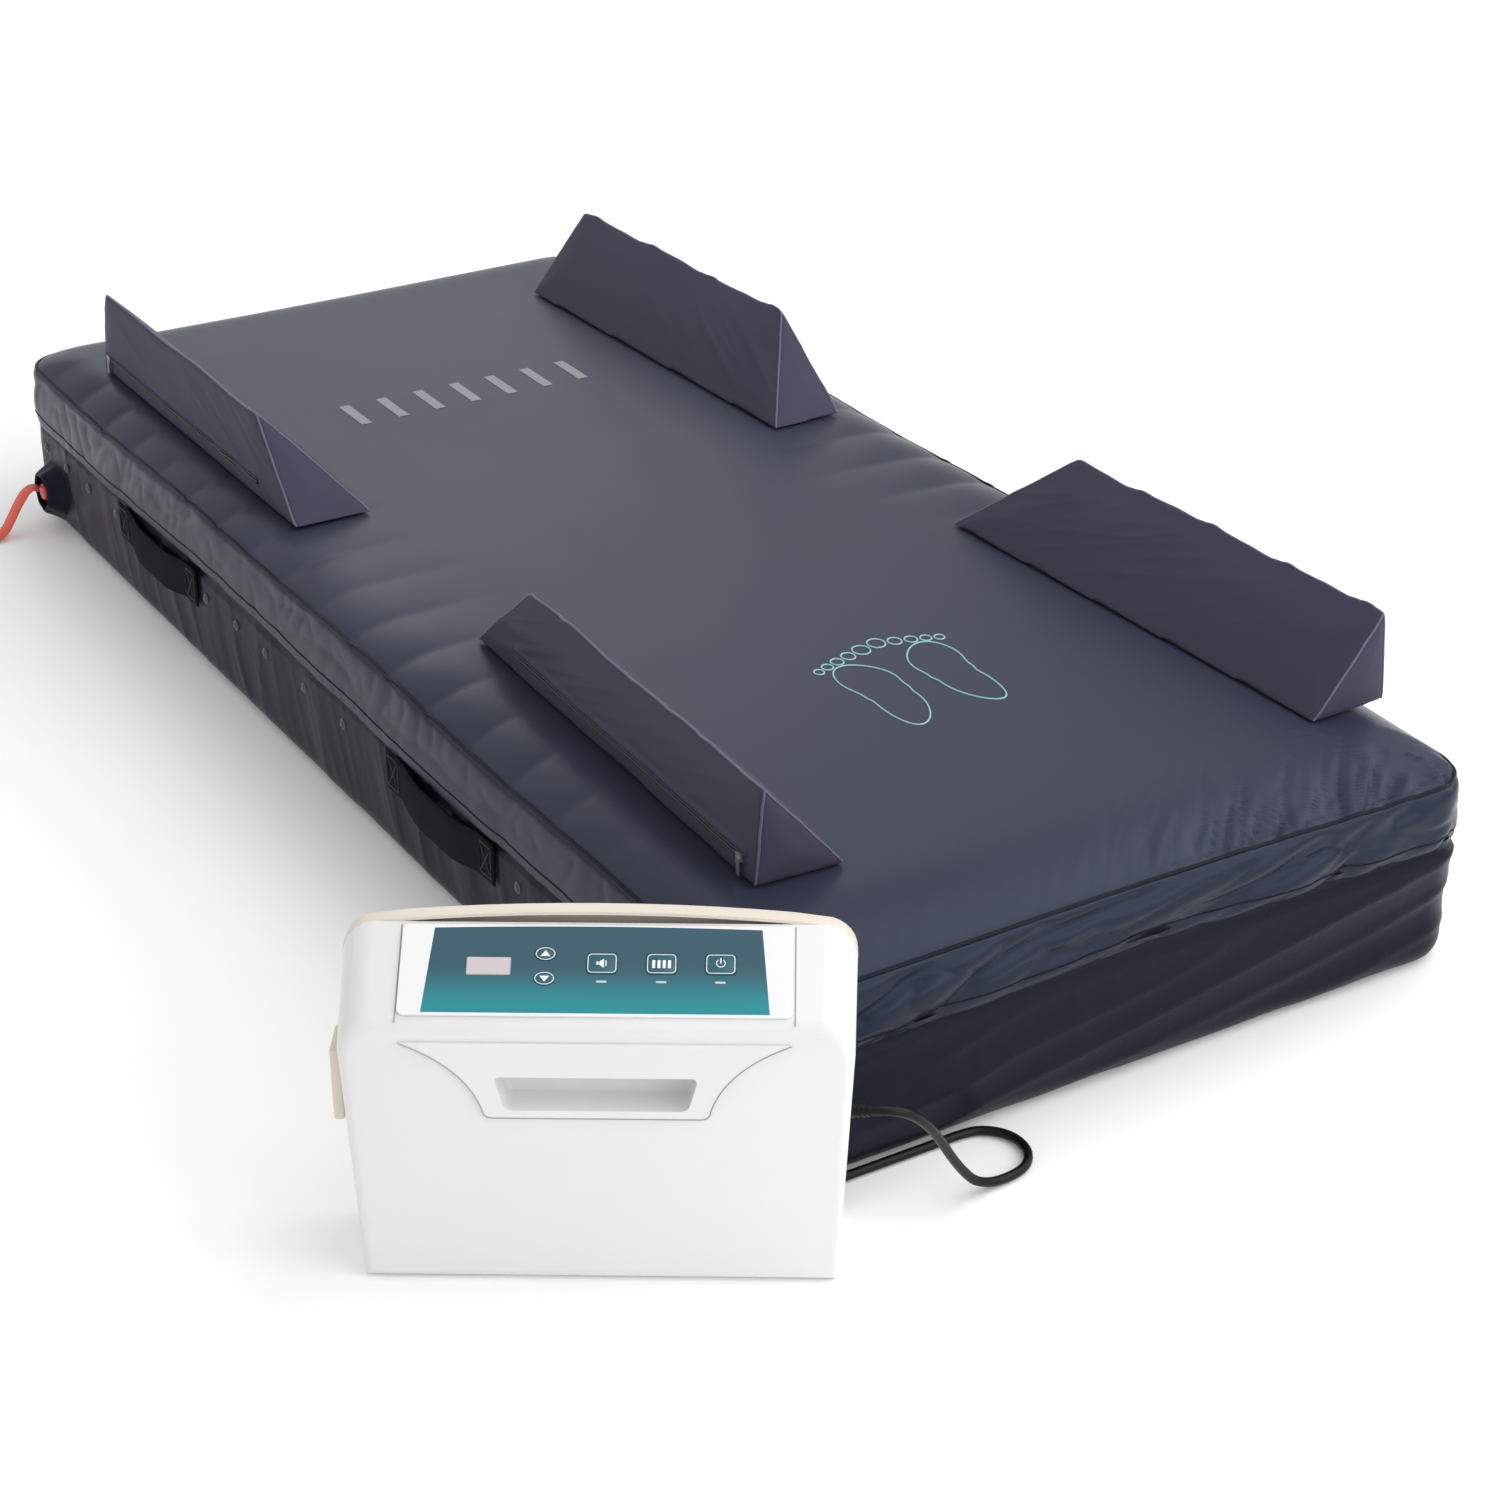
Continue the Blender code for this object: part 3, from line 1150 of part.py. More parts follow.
DARK_METAL = principled("motor_metal", (0.18, 0.18, 0.19), 0.45, 0.8)
STEEL = principled("plated_steel", (0.62, 0.62, 0.63), 0.30, 1.0)
BLACK_RUBBER = principled("black_rubber", (0.012, 0.012, 0.013), 0.45)

build_covers()
build_base_bladder()
build_cells()
for tube in TUBE_HEIGHTS:
    build_feed_tube(tube)
build_hose_coupling()
build_cpr_valve()
build_handles()
for bolster, placing in BOLSTERS.items():
    build_bolster(bolster, *placing)

PUMP = add_empty("pump", PUMP_PLACE, (0, 0, math.radians(PUMP_TURN)))
build_front_housing(PUMP)
build_rear_housing(PUMP)
build_hanger(PUMP)
build_fascia(PUMP)
build_control_panel(PUMP)
build_compressor(PUMP)
build_outlet_block(PUMP)
build_strain_relief(PUMP)
build_cord(PUMP)
build_plug(PUMP)
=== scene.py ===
"""Looks of the pressure relief mattress and its pump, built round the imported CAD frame.

World frame as in the CAD: the mattress's underside centre is the origin, +Y to the head end,
+Z up, metres. The pump's frame has X along its front and Y to its back. The deck frame has
X across the sloping panel, Y up it and Z out of it.
"""

import math

import bmesh
import bpy
import numpy as np
from mathutils import Matrix, Vector, noise
from mathutils.bvhtree import BVHTree


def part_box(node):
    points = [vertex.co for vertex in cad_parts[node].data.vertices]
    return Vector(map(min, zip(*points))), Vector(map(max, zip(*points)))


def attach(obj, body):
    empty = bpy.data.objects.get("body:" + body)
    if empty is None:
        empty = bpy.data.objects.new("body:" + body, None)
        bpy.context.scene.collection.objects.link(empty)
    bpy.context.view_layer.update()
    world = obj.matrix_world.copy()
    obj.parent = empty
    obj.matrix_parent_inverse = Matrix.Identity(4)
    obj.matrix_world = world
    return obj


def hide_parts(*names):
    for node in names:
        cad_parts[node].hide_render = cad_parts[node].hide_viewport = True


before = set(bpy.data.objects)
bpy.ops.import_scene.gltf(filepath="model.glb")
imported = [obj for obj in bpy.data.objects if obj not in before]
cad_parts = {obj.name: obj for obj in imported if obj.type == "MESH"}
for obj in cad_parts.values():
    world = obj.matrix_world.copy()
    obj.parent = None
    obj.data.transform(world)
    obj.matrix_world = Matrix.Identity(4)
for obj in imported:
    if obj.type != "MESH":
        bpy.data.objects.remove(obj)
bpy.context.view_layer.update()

# ---------------------------------------------------------------- sizes

# Camera
EYE = (-1.7502, -3.1355, 1.8085)
AZIMUTH = -31.232
ELEVATION = 27.672
LENS = 74.686

# Pump frame and deck frame
PUMP_PLACE = Vector((-0.6415, -1.0361, 0.0))
PUMP_TURN = math.radians(-32.2)
DECK_SLOPE = math.radians(29.7)
FOLD_HEIGHT = 0.282
BACK_FACE = 0.1118
PUMP = Matrix.Translation(PUMP_PLACE) @ Matrix.Rotation(PUMP_TURN, 4, "Z")
DECK = PUMP @ Matrix.Translation((0, 0, FOLD_HEIGHT)) @ Matrix.Rotation(DECK_SLOPE, 4, "X")

# Power lead, with the route's points as in the CAD source, in the pump's frame
CORD_RADIUS = 0.005
CORD_STEP = 0.008
CORD_ROUTE = (
    (0.2531, 0.0600, 0.1550),
    (0.2690, 0.0602, 0.1548),
    (0.2850, 0.0640, 0.1500),
    (0.2990, 0.0728, 0.1370),
    (0.3109, 0.0855, 0.1175),
    (0.3229, 0.1018, 0.0900),
    (0.3352, 0.1179, 0.0600),
    (0.3484, 0.1335, 0.0330),
    (0.3605, 0.1434, 0.0165),
    (0.3777, 0.1555, 0.0070),
    (0.3978, 0.1698, 0.0053),
    (0.4114, 0.1862, 0.0053),
    (0.4152, 0.2072, 0.0053),
    (0.4081, 0.2274, 0.0053),
    (0.3924, 0.2413, 0.0053),
    (0.3713, 0.2459, 0.0053),
    (0.3509, 0.2394, 0.0053),
    (0.3128, 0.2154, 0.0053),
    (0.2747, 0.1914, 0.0053),
    (0.2367, 0.1675, 0.0053),
    (0.2100, 0.1505, 0.0053),
    (0.1860, 0.1378, 0.0053),
    (0.1500, 0.1292, 0.0053),
    (0.1000, 0.1268, 0.0053),
    (0.0400, 0.1265, 0.0053),
    (-0.0050, 0.1265, 0.0053),
)
COIL_CENTRE = (-0.050, 0.2030)
COIL_OUTER_TURN = 0.0765
COIL_PITCH = 0.0103
LAYER_TURNS = 3
LAYER_STEP = 0.0102
COIL_DIP = 0.0036
TURN_POINTS = 24
TAIL_TURN = 0.25
PLUG_NECK = (-0.1291, 0.2460, 0.0155)


# ---------------------------------------------------------------- helpers

def smooth_points(route, step):
    """Points about one step apart on a smooth curve through the route's points."""
    route = [Vector(point) for point in route]
    ends = [2 * route[0] - route[1], *route, 2 * route[-1] - route[-2]]
    points = [route[0]]
    for before, start, end, after in zip(ends, ends[1:], ends[2:], ends[3:]):
        count = max(1, round((end - start).length / step))
        for index in range(1, count + 1):
            t = index / count
            points.append(0.5 * (2 * start + (end - before) * t
                                 + (2 * before - 5 * start + 4 * end - after) * t ** 2
                                 + (3 * start - before - 3 * end + after) * t ** 3))
    return points


def tube(name, points, radius, matrix=Matrix.Identity(4), resolution=3, cyclic=False):
    """A round tube as a curve object with one spline through the points."""
    curve = bpy.data.curves.new(name, "CURVE")
    curve.dimensions = "3D"
    curve.bevel_depth = radius
    curve.bevel_resolution = resolution
    curve.use_fill_caps = True
    spline = curve.splines.new("POLY")
    spline.points.add(len(points) - 1)
    for point, place in zip(spline.points, points):
        point.co = (*(matrix @ Vector(place)), 1.0)
    spline.use_cyclic_u = cyclic
    piece = bpy.data.objects.new(name, curve)
    bpy.context.scene.collection.objects.link(piece)
    return piece


def loft(name, rings, cyclic=True, caps=False):
    """A mesh of quads between successive rings, given as an array (rings, points, 3)."""
    rings = np.asarray(rings, float)
    count, size = rings.shape[:2]
    index = np.arange(count * size).reshape(count, size)
    a, d = index[:-1], index[1:]
    if cyclic:
        b, c = np.roll(a, -1, 1), np.roll(d, -1, 1)
    else:
        a, b, c, d = a[:, :-1], a[:, 1:], d[:, 1:], d[:, :-1]
    faces = np.stack([a, b, c, d], -1).reshape(-1, 4).tolist()
    if caps:
        faces += [index[0][::-1].tolist(), index[-1].tolist()]
    mesh = bpy.data.meshes.new(name)
    mesh.from_pydata(rings.reshape(-1, 3).tolist(), [], faces)
    mesh.update()
    return add(name, mesh)


def add(name, mesh):
    piece = bpy.data.objects.new(name, mesh)
    bpy.context.scene.collection.objects.link(piece)
    return piece


def mesh_of(name, bm):
    mesh = bpy.data.meshes.new(name)
    bm.to_mesh(mesh)
    bm.free()
    return add(name, mesh)


def smooth(piece):
    piece.data.polygons.foreach_set("use_smooth", [True] * len(piece.data.polygons))


def coords(piece):
    co = np.empty(len(piece.data.vertices) * 3, np.float64)
    piece.data.vertices.foreach_get("co", co)
    return co.reshape(-1, 3)


def set_coords(piece, co):
    piece.data.vertices.foreach_set("co", np.asarray(co, np.float32).ravel())
    piece.data.update()


def apply_modifiers(piece):
    graph = bpy.context.evaluated_depsgraph_get()
    mesh = bpy.data.meshes.new_from_object(piece.evaluated_get(graph))
    piece.modifiers.clear()
    piece.data = mesh


def subdivide(piece):
    modifier = piece.modifiers.new("Subdivision", "SUBSURF")
    modifier.levels = modifier.render_levels = 1
    apply_modifiers(piece)
    smooth(piece)


def ramp(low, high, value):
    """Smoothly 0 below low and 1 above high."""
    t = np.clip((value - low) / (high - low), 0.0, 1.0)
    return t * t * (3 - 2 * t)


def noise_at(points, scale, seed=0.0):
    """Smooth noise from -1 to 1 at each point; scale is one number or one for each axis."""
    scaled = np.asarray(points, float) * scale + seed
    return np.array([noise.noise(Vector(p)) for p in scaled])


def ridged(points, scale, seed=0.0):
    """Sharp-crested noise from 0 to 1, like pulled folds."""
    return (1.0 - np.abs(noise_at(points, scale, seed))) ** 3


# ---------------------------------------------------------------- materials

def node(tree, kind, **values):
    made = tree.nodes.new(kind)
    for key, value in values.items():
        if key in made.inputs:
            made.inputs[key].default_value = value
        else:
            setattr(made, key, value)
    return made


def new_material(name, colour, roughness, metallic=0.0):
    material = bpy.data.materials.new(name)
    material.use_nodes = True
    tree = material.node_tree
    shader = tree.nodes["Principled BSDF"]
    shader.inputs["Base Color"].default_value = (*colour, 1.0)
    shader.inputs["Roughness"].default_value = roughness
    shader.inputs["Metallic"].default_value = metallic
    return material, tree, shader


def math_node(tree, operation, a, b=None):
    made = tree.nodes.new("ShaderNodeMath")
    made.operation = operation
    for socket, value in zip(made.inputs, (a, b)):
        if isinstance(value, (int, float)):
            socket.default_value = value
        elif value is not None:
            tree.links.new(value, socket)
    return made.outputs[0]


def mix_colour(tree, factor, first, second):
    made = tree.nodes.new("ShaderNodeMix")
    made.data_type = "RGBA"
    for socket, value in ((made.inputs[0], factor), (made.inputs[6], first), (made.inputs[7], second)):
        if isinstance(value, tuple):
            socket.default_value = (*value, 1.0)
        else:
            tree.links.new(value, socket)
    return made.outputs[2]


# What a cloth's weave number is divided by to give the wave texture's scale
WEAVE_UNIT = 6.283


def mottled(tree, factor, colour, mottle):
    """The colour, lighter and darker by the mottle share as the factor goes."""
    dark = tuple(c * (1 - mottle) for c in colour)
    return mix_colour(tree, factor, dark, tuple(min(1.0, c * (1 + mottle)) for c in colour))


def varied_roughness(tree, factor, shader, middle, spread):
    rough = math_node(tree, "ADD", math_node(tree, "MULTIPLY", factor, spread), middle - spread / 2)
    tree.links.new(rough, shader.inputs["Roughness"])


def noise_texture(tree, place, **values):
    made = node(tree, "ShaderNodeTexNoise", **values)
    tree.links.new(place, made.inputs["Vector"])
    return made.outputs["Fac"]


def bump_node(tree, height, strength, distance):
    made = node(tree, "ShaderNodeBump", Strength=strength, Distance=distance)
    tree.links.new(height, made.inputs["Height"])
    return made


def fabric(name, colour, roughness, weave, bump, sheen=0.15, mottle=0.18, specular=0.5,
           wrinkle=0.0, gleam=(1.0, 1.0, 1.0)):
    """Woven cloth: a fine warp and weft in the bump, cloudy colour and roughness."""
    material, tree, shader = new_material(name, colour, roughness)
    place = tree.nodes.new("ShaderNodeTexCoord").outputs["Object"]
    threads = []
    for direction in ("X", "Y", "Z"):
        wave = node(tree, "ShaderNodeTexWave", wave_type="BANDS", bands_direction=direction,
                    Scale=weave / WEAVE_UNIT, Distortion=0.6, Detail=0.0)
        tree.links.new(place, wave.inputs["Vector"])
        threads.append(wave.outputs["Fac"])
    height = math_node(tree, "ADD", math_node(tree, "ADD", threads[0], threads[1]), threads[2])
    slub = noise_texture(tree, place, Scale=420.0, Detail=2.0)
    height = math_node(tree, "ADD", math_node(tree, "MULTIPLY", height, 0.33), slub)
    last = weave_bump = bump_node(tree, height, bump, 0.0006)
    if wrinkle:
        crumple = noise_texture(tree, place, Scale=38.0, Detail=4.0, Roughness=0.55, Distortion=0.8)
        last = bump_node(tree, crumple, wrinkle, 0.006)
        tree.links.new(weave_bump.outputs["Normal"], last.inputs["Normal"])
    tree.links.new(last.outputs["Normal"], shader.inputs["Normal"])
    cloud = noise_texture(tree, place, Scale=3.5, Detail=5.0, Roughness=0.6)
    tone = mottled(tree, cloud, colour, mottle)
    speck = mix_colour(tree, slub, (0.9, 0.9, 0.9), (1.08, 1.08, 1.08))
    both = node(tree, "ShaderNodeMix", data_type="RGBA", blend_type="MULTIPLY")
    both.inputs[0].default_value = 1.0
    tree.links.new(tone, both.inputs[6])
    tree.links.new(speck, both.inputs[7])
    tree.links.new(both.outputs[2], shader.inputs["Base Color"])
    varied_roughness(tree, cloud, shader, roughness, 0.12)
    shader.inputs["Sheen Weight"].default_value = sheen
    shader.inputs["Sheen Roughness"].default_value = 0.4
    shader.inputs["Specular IOR Level"].default_value = specular
    shader.inputs["Specular Tint"].default_value = (*gleam, 1.0)
    return material


def plastic(name, colour, roughness, grain=0.04, metallic=0.0, coat=0.0, mottle=0.03, scale=700.0,
            specular=0.5):
    """Moulded plastic, rubber or metal: a fine grain, faint tone and gloss variation."""
    material, tree, shader = new_material(name, colour, roughness, metallic)
    place = tree.nodes.new("ShaderNodeTexCoord").outputs["Object"]
    bump = bump_node(tree, noise_texture(tree, place, Scale=scale, Detail=2.0), grain, 0.0004)
    tree.links.new(bump.outputs["Normal"], shader.inputs["Normal"])
    broad = noise_texture(tree, place, Scale=9.0, Detail=3.0)
    tone = mottled(tree, broad, colour, mottle)
    tree.links.new(tone, shader.inputs["Base Color"])
    varied_roughness(tree, broad, shader, roughness, 0.1)
    shader.inputs["Coat Weight"].default_value = coat
    shader.inputs["Specular IOR Level"].default_value = specular
    return material


def paint(piece, material):
    piece.data.materials.clear()
    piece.data.materials.append(material)


def dress(piece, material, body):
    """The piece's material, and the CAD body that it moves with."""
    paint(piece, material)
    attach(piece, body)


# ---------------------------------------------------------------- camera

def build_camera():
    camera = bpy.data.objects.new("camera", bpy.data.cameras.new("camera"))
    camera.data.lens = LENS
    azimuth, elevation = math.radians(AZIMUTH), math.radians(ELEVATION)
    back = Vector((math.sin(azimuth) * math.cos(elevation),
                   -math.cos(azimuth) * math.cos(elevation), math.sin(elevation)))
    camera.location = EYE
    camera.rotation_mode = "QUATERNION"
    camera.rotation_quaternion = (-back).to_track_quat("-Z", "Y")
    camera.data.clip_end = 50.0
    bpy.context.scene.collection.objects.link(camera)
    bpy.context.scene.camera = camera


# ---------------------------------------------------------------- power lead

def coil_points():
    """The winding: in over the lower layer, up inside it, and out over the upper layer."""
    low = CORD_ROUTE[-1][2]
    inner = COIL_OUTER_TURN - LAYER_TURNS * COIL_PITCH
    total = 2 * LAYER_TURNS + 1 + TAIL_TURN
    steps = round(total * TURN_POINTS)
    points = []
    for index in range(steps + 1):
        turns = total * index / steps
        climb = min(max(turns - LAYER_TURNS, 0.0), 1.0)
        radius = inner - COIL_DIP * math.sin(math.pi * climb)
        if turns < LAYER_TURNS:
            radius = COIL_OUTER_TURN - COIL_PITCH * turns
        elif turns > LAYER_TURNS + 1:
            radius = inner + COIL_PITCH * (turns - LAYER_TURNS - 1)
        angle = -math.pi / 2 - 2 * math.pi * turns
        height = low + LAYER_STEP * climb * climb * (3 - 2 * climb)
        points.append((COIL_CENTRE[0] + radius * math.cos(angle),
                       COIL_CENTRE[1] + radius * math.sin(angle), height))
    return points


def cord_points():
    return smooth_points(CORD_ROUTE, CORD_STEP) + coil_points() + [PLUG_NECK]


def build_lead():
    points = [Vector(p) for p in cord_points()]
    line = tube("lead_line", points, CORD_RADIUS, PUMP)
    graph = bpy.context.evaluated_depsgraph_get()
    lead = add("power_lead", bpy.data.meshes.new_from_object(line.evaluated_get(graph)))
    bpy.data.objects.remove(line)
    smooth(lead)
    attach(lead, "pump")
    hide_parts("power_cord", "cord_coil")
    return lead


# ---------------------------------------------------------------- cloth

def settle(piece, free, growth, frames=18, pressure=0.0, bend=0.4, cap=0.012):
    """Cloth simulation: free is how loose each point is, growth how much bigger the loose cloth is cut."""
    start = coords(piece)
    held = piece.vertex_groups.new(name="held")
    loose = piece.vertex_groups.new(name="loose")
    for index, value in enumerate(free):
        held.add([index], float(1.0 - value), "REPLACE")
        loose.add([index], float(value), "REPLACE")
    modifier = piece.modifiers.new("Cloth", "CLOTH")
    cloth = modifier.settings
    cloth.quality = 6
    cloth.mass = 0.2
    cloth.tension_stiffness = 25
    cloth.compression_stiffness = 25
    cloth.shear_stiffness = 8
    cloth.bending_stiffness = bend
    cloth.air_damping = 3
    cloth.vertex_group_mass = "held"
    cloth.pin_stiffness = 1
    cloth.vertex_group_shrink = "loose"
    cloth.shrink_min = 0.0
    cloth.shrink_max = -growth
    cloth.effector_weights.gravity = 0.0
    if pressure:
        cloth.use_pressure = True
        cloth.uniform_pressure_force = pressure
    modifier.point_cache.frame_start = 1
    modifier.point_cache.frame_end = frames
    for number in range(1, frames + 1):
        bpy.context.scene.frame_set(number)
    graph = bpy.context.evaluated_depsgraph_get()
    mesh = piece.evaluated_get(graph).to_mesh()
    moved = np.empty(len(mesh.vertices) * 3)
    mesh.vertices.foreach_get("co", moved)
    piece.evaluated_get(graph).to_mesh_clear()
    piece.modifiers.clear()
    piece.vertex_groups.clear()
    bpy.context.scene.frame_set(1)
    shift = np.nan_to_num(moved.reshape(-1, 3) - start)
    size = np.linalg.norm(shift, axis=1, keepdims=True)
    set_coords(piece, start + shift * np.tanh(size / cap) * cap / np.maximum(size, 1e-9))


# ---------------------------------------------------------------- mattress covers

COVER_LOW, COVER_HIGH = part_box("top_cover")
HALF_X, HALF_Y, TOP = COVER_HIGH.x, COVER_HIGH.y, COVER_HIGH.z
HEM = COVER_LOW.z
CELL_PITCH = 0.100
COVER_CORNER = 0.060
AROUND = 760
SEAM_Z = 0.227
BASE_CORNER = 0.048
# How far in from the edge the top rolls down to the seam, and more of it at the foot and the head
EDGE_ROLL, FOOT_ROLL, HEAD_ROLL = 0.075, 0.055, 0.02
TOP_SINK = 0.0015
FLAP_FLARE = 0.002
# The hem turned under: how far back and how far up each row is
HEM_TURN = ((0.0015, -0.0015), (0.004, 0.0005), (0.0045, 0.008))
# Radius and lift off the cloth
SEAM_PIPE, SEAM_LIFT = 0.0024, 0.0012
HEM_THREAD, HEM_LIFT = 0.0009, 0.0003
# The base cover: its top row under the flap, its last upright row, and the rows that turn under it
BASE_TOP, BASE_FOOT = 0.205, 0.020
BASE_TURN = ((0.002, 0.011), (0.007, 0.004), (0.016, 0.0006), (0.034, 0.0003))
UNDERSIDE = 0.0003


def outline(half_x, half_y, corner, count):
    """Points evenly round a rounded rectangle, their outward normals and their spine points."""
    total = 4 * (half_x + half_y - 2 * corner) + 2 * math.pi * corner
    quarter = math.pi * corner / 2
    legs = [2 * (half_y - corner), quarter, 2 * (half_x - corner), quarter] * 2
    starts = [(half_x, -half_y + corner), (half_x - corner, half_y - corner), (half_x - corner, half_y),
              (-half_x + corner, half_y - corner), (-half_x, half_y - corner),
              (-half_x + corner, -half_y + corner), (-half_x + corner, -half_y),
              (half_x - corner, -half_y + corner)]
    points = np.zeros((count, 2))
    normals = np.zeros((count, 2))
    for number in range(count):
        along = total * number / count
        leg = 0
        while along > legs[leg] and leg < 7:
            along -= legs[leg]
            leg += 1
        heading = math.pi / 2 * (leg // 2)
        facing = np.array([math.cos(heading), math.sin(heading)])
        going = np.array([-facing[1], facing[0]])
        if leg % 2 == 0:
            points[number] = np.array(starts[leg]) + going * along
            normals[number] = facing
        else:
            angle = heading + along / corner
            normals[number] = (math.cos(angle), math.sin(angle))
            points[number] = np.array(starts[leg]) + normals[number] * corner
    reach = half_y - half_x
    spine = np.stack([np.zeros(count), np.clip(points[:, 1], -reach, reach)], 1)
    return points, normals, spine


# Dips between the cells at the left and the right edge
RIB_DEPTH = (0.0062, 0.0050)


def cell_ribs(x, y):
    """How far the cover dips between the air cells: only along the two long edges."""
    edge = HALF_X - np.abs(x)
    reach = 0.10 + 0.15 * np.exp(-((y - 0.05) / 0.35) ** 2)
    depth = np.where(x < 0, *RIB_DEPTH) * (1 - ramp(0.0, 1.0, edge / reach))
    depth *= ramp(-0.80, -0.45, y) * (1 - ramp(0.84, 0.96, y))
    uneven = 0.8 + 0.35 * np.sin(9.1 * y + 2.0 * np.sign(x)) * np.cos(4.7 * y)
    wave = np.abs(np.sin(math.pi * y / CELL_PITCH)) ** 0.7
    return depth * uneven * (wave - 1.0)


def edge_frame(co, half_x, half_y, corner):
    """How far outside a rounded rectangle each point is, the outward direction and the edge point."""
    reach = np.abs(co[:, :2]) - (np.array([half_x, half_y]) - corner)
    beyond = np.maximum(reach, 0.0)
    length = np.linalg.norm(beyond, axis=1)
    nearest = np.column_stack([reach[:, 0] >= reach[:, 1], reach[:, 0] < reach[:, 1]]).astype(float)
    facing = np.where((length > 1e-9)[:, None], beyond / np.maximum(length, 1e-9)[:, None], nearest)
    facing = facing * np.where(co[:, :2] < 0, -1.0, 1.0)
    outside = length + np.minimum(reach.max(1), 0.0) - corner
    return outside, facing, co[:, :2] - facing * outside[:, None]


def face_normals(piece):
    out = np.empty(len(piece.data.vertices) * 3, np.float32)
    piece.data.vertex_normals.foreach_get("vector", out)
    return out.reshape(-1, 3).astype(float)


def seam_height(points, normals):
    """The piped seam: level, pushed up by the cells at mid-length on the long sides."""
    side = np.abs(normals[:, 0])
    lift = 0.008 * side * np.exp(-((points[:, 1] - 0.05) / 0.55) ** 2)
    ripple = 0.0025 * np.sin(points[:, 1] * 11.0 + points[:, 0] * 7.0)
    return SEAM_Z + lift + ripple


def build_top_cover(material, flap_shade_material):
    points, normals, spine = outline(HALF_X, HALF_Y, COVER_CORNER, AROUND)
    foot = np.clip(-normals[:, 1], 0, 1)
    head = np.clip(normals[:, 1], 0, 1)
    seam = seam_height(points, normals)
    roll = EDGE_ROLL + FOOT_ROLL * foot + HEAD_ROLL * head
    inward = np.concatenate([np.linspace(HALF_X, 0.16, 16), np.linspace(0.152, 0.0, 20)])
    rings, loose = [], []
    for distance in inward:
        share = distance / HALF_X
        plan = points + (spine - points) * share
        fall = np.clip(1 - distance / roll, 0, 1) ** 2.2
        z = TOP - TOP_SINK - (TOP - TOP_SINK - seam) * fall
        z = z + cell_ribs(plan[:, 0], plan[:, 1]) * (1 - 0.7 * fall)
        rings.append(np.column_stack([plan, z]))
        loose.append(np.full(AROUND, float(1 - ramp(0.03, 0.14, distance)) * 0.9))
    loose[-1] *= 0.25
    flap = np.linspace(0, 1, 12)[1:]
    hem = HEM + 0.008 * foot * np.sin(points[:, 0] * 5 + 1.2) + 0.004 * np.sin(points[:, 1] * 6.0)
    for share in flap:
        out = 0.003 * math.sin(math.pi * share) + FLAP_FLARE * share
        belly = 0.006 * foot * math.sin(math.pi * share) ** 0.8
        plan = points + normals * (out + belly)[:, None]
        rings.append(np.column_stack([plan, seam + (hem - seam) * share]))
        loose.append(np.full(AROUND, 0.95))
    loose[-1] *= 0.5
    for back, up in HEM_TURN:
        plan = points + normals * (FLAP_FLARE - back)
        rings.append(np.column_stack([plan, hem + up]))
        loose.append(np.full(AROUND, 0.2))
    cover = loft("stretch_cover", rings)
    settle(cover, np.concatenate(loose), growth=0.045, bend=0.25, cap=0.011)
    subdivide(cover)
    crease_cover(cover, material, flap_shade_material)
    seam_ring = coords(cover)[(len(inward) - 1) * AROUND:len(inward) * AROUND]
    hem_row = len(inward) + len(flap) - 3
    hem_ring = coords(cover)[hem_row * AROUND:(hem_row + 1) * AROUND]
    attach(cover, "mattress")
    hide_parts("top_cover", "pillow_cells", *(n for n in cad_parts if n.startswith("air_cell")))
    return cover, seam_ring, hem_ring, normals


# Depths of the top cover's creases: the gathers at the foot, the flap's broad and narrow folds at the
# foot, its broad folds and tucks at the sides, and the seam's groove with its width
GATHER_DEPTH = 0.0120
FOOT_FOLDS = (0.0200, 0.0060)
SIDE_FOLDS = (0.0050, 0.0022)
GROOVE_DEPTH, GROOVE_WIDTH = 0.0036, 0.0038
# How far the flap may stand out of the cover's outline, at least and at most, and the top out of the CAD's
FLAP_LEAST, FLAP_MOST = -0.0022, 0.014
TOP_PROUD = 0.004


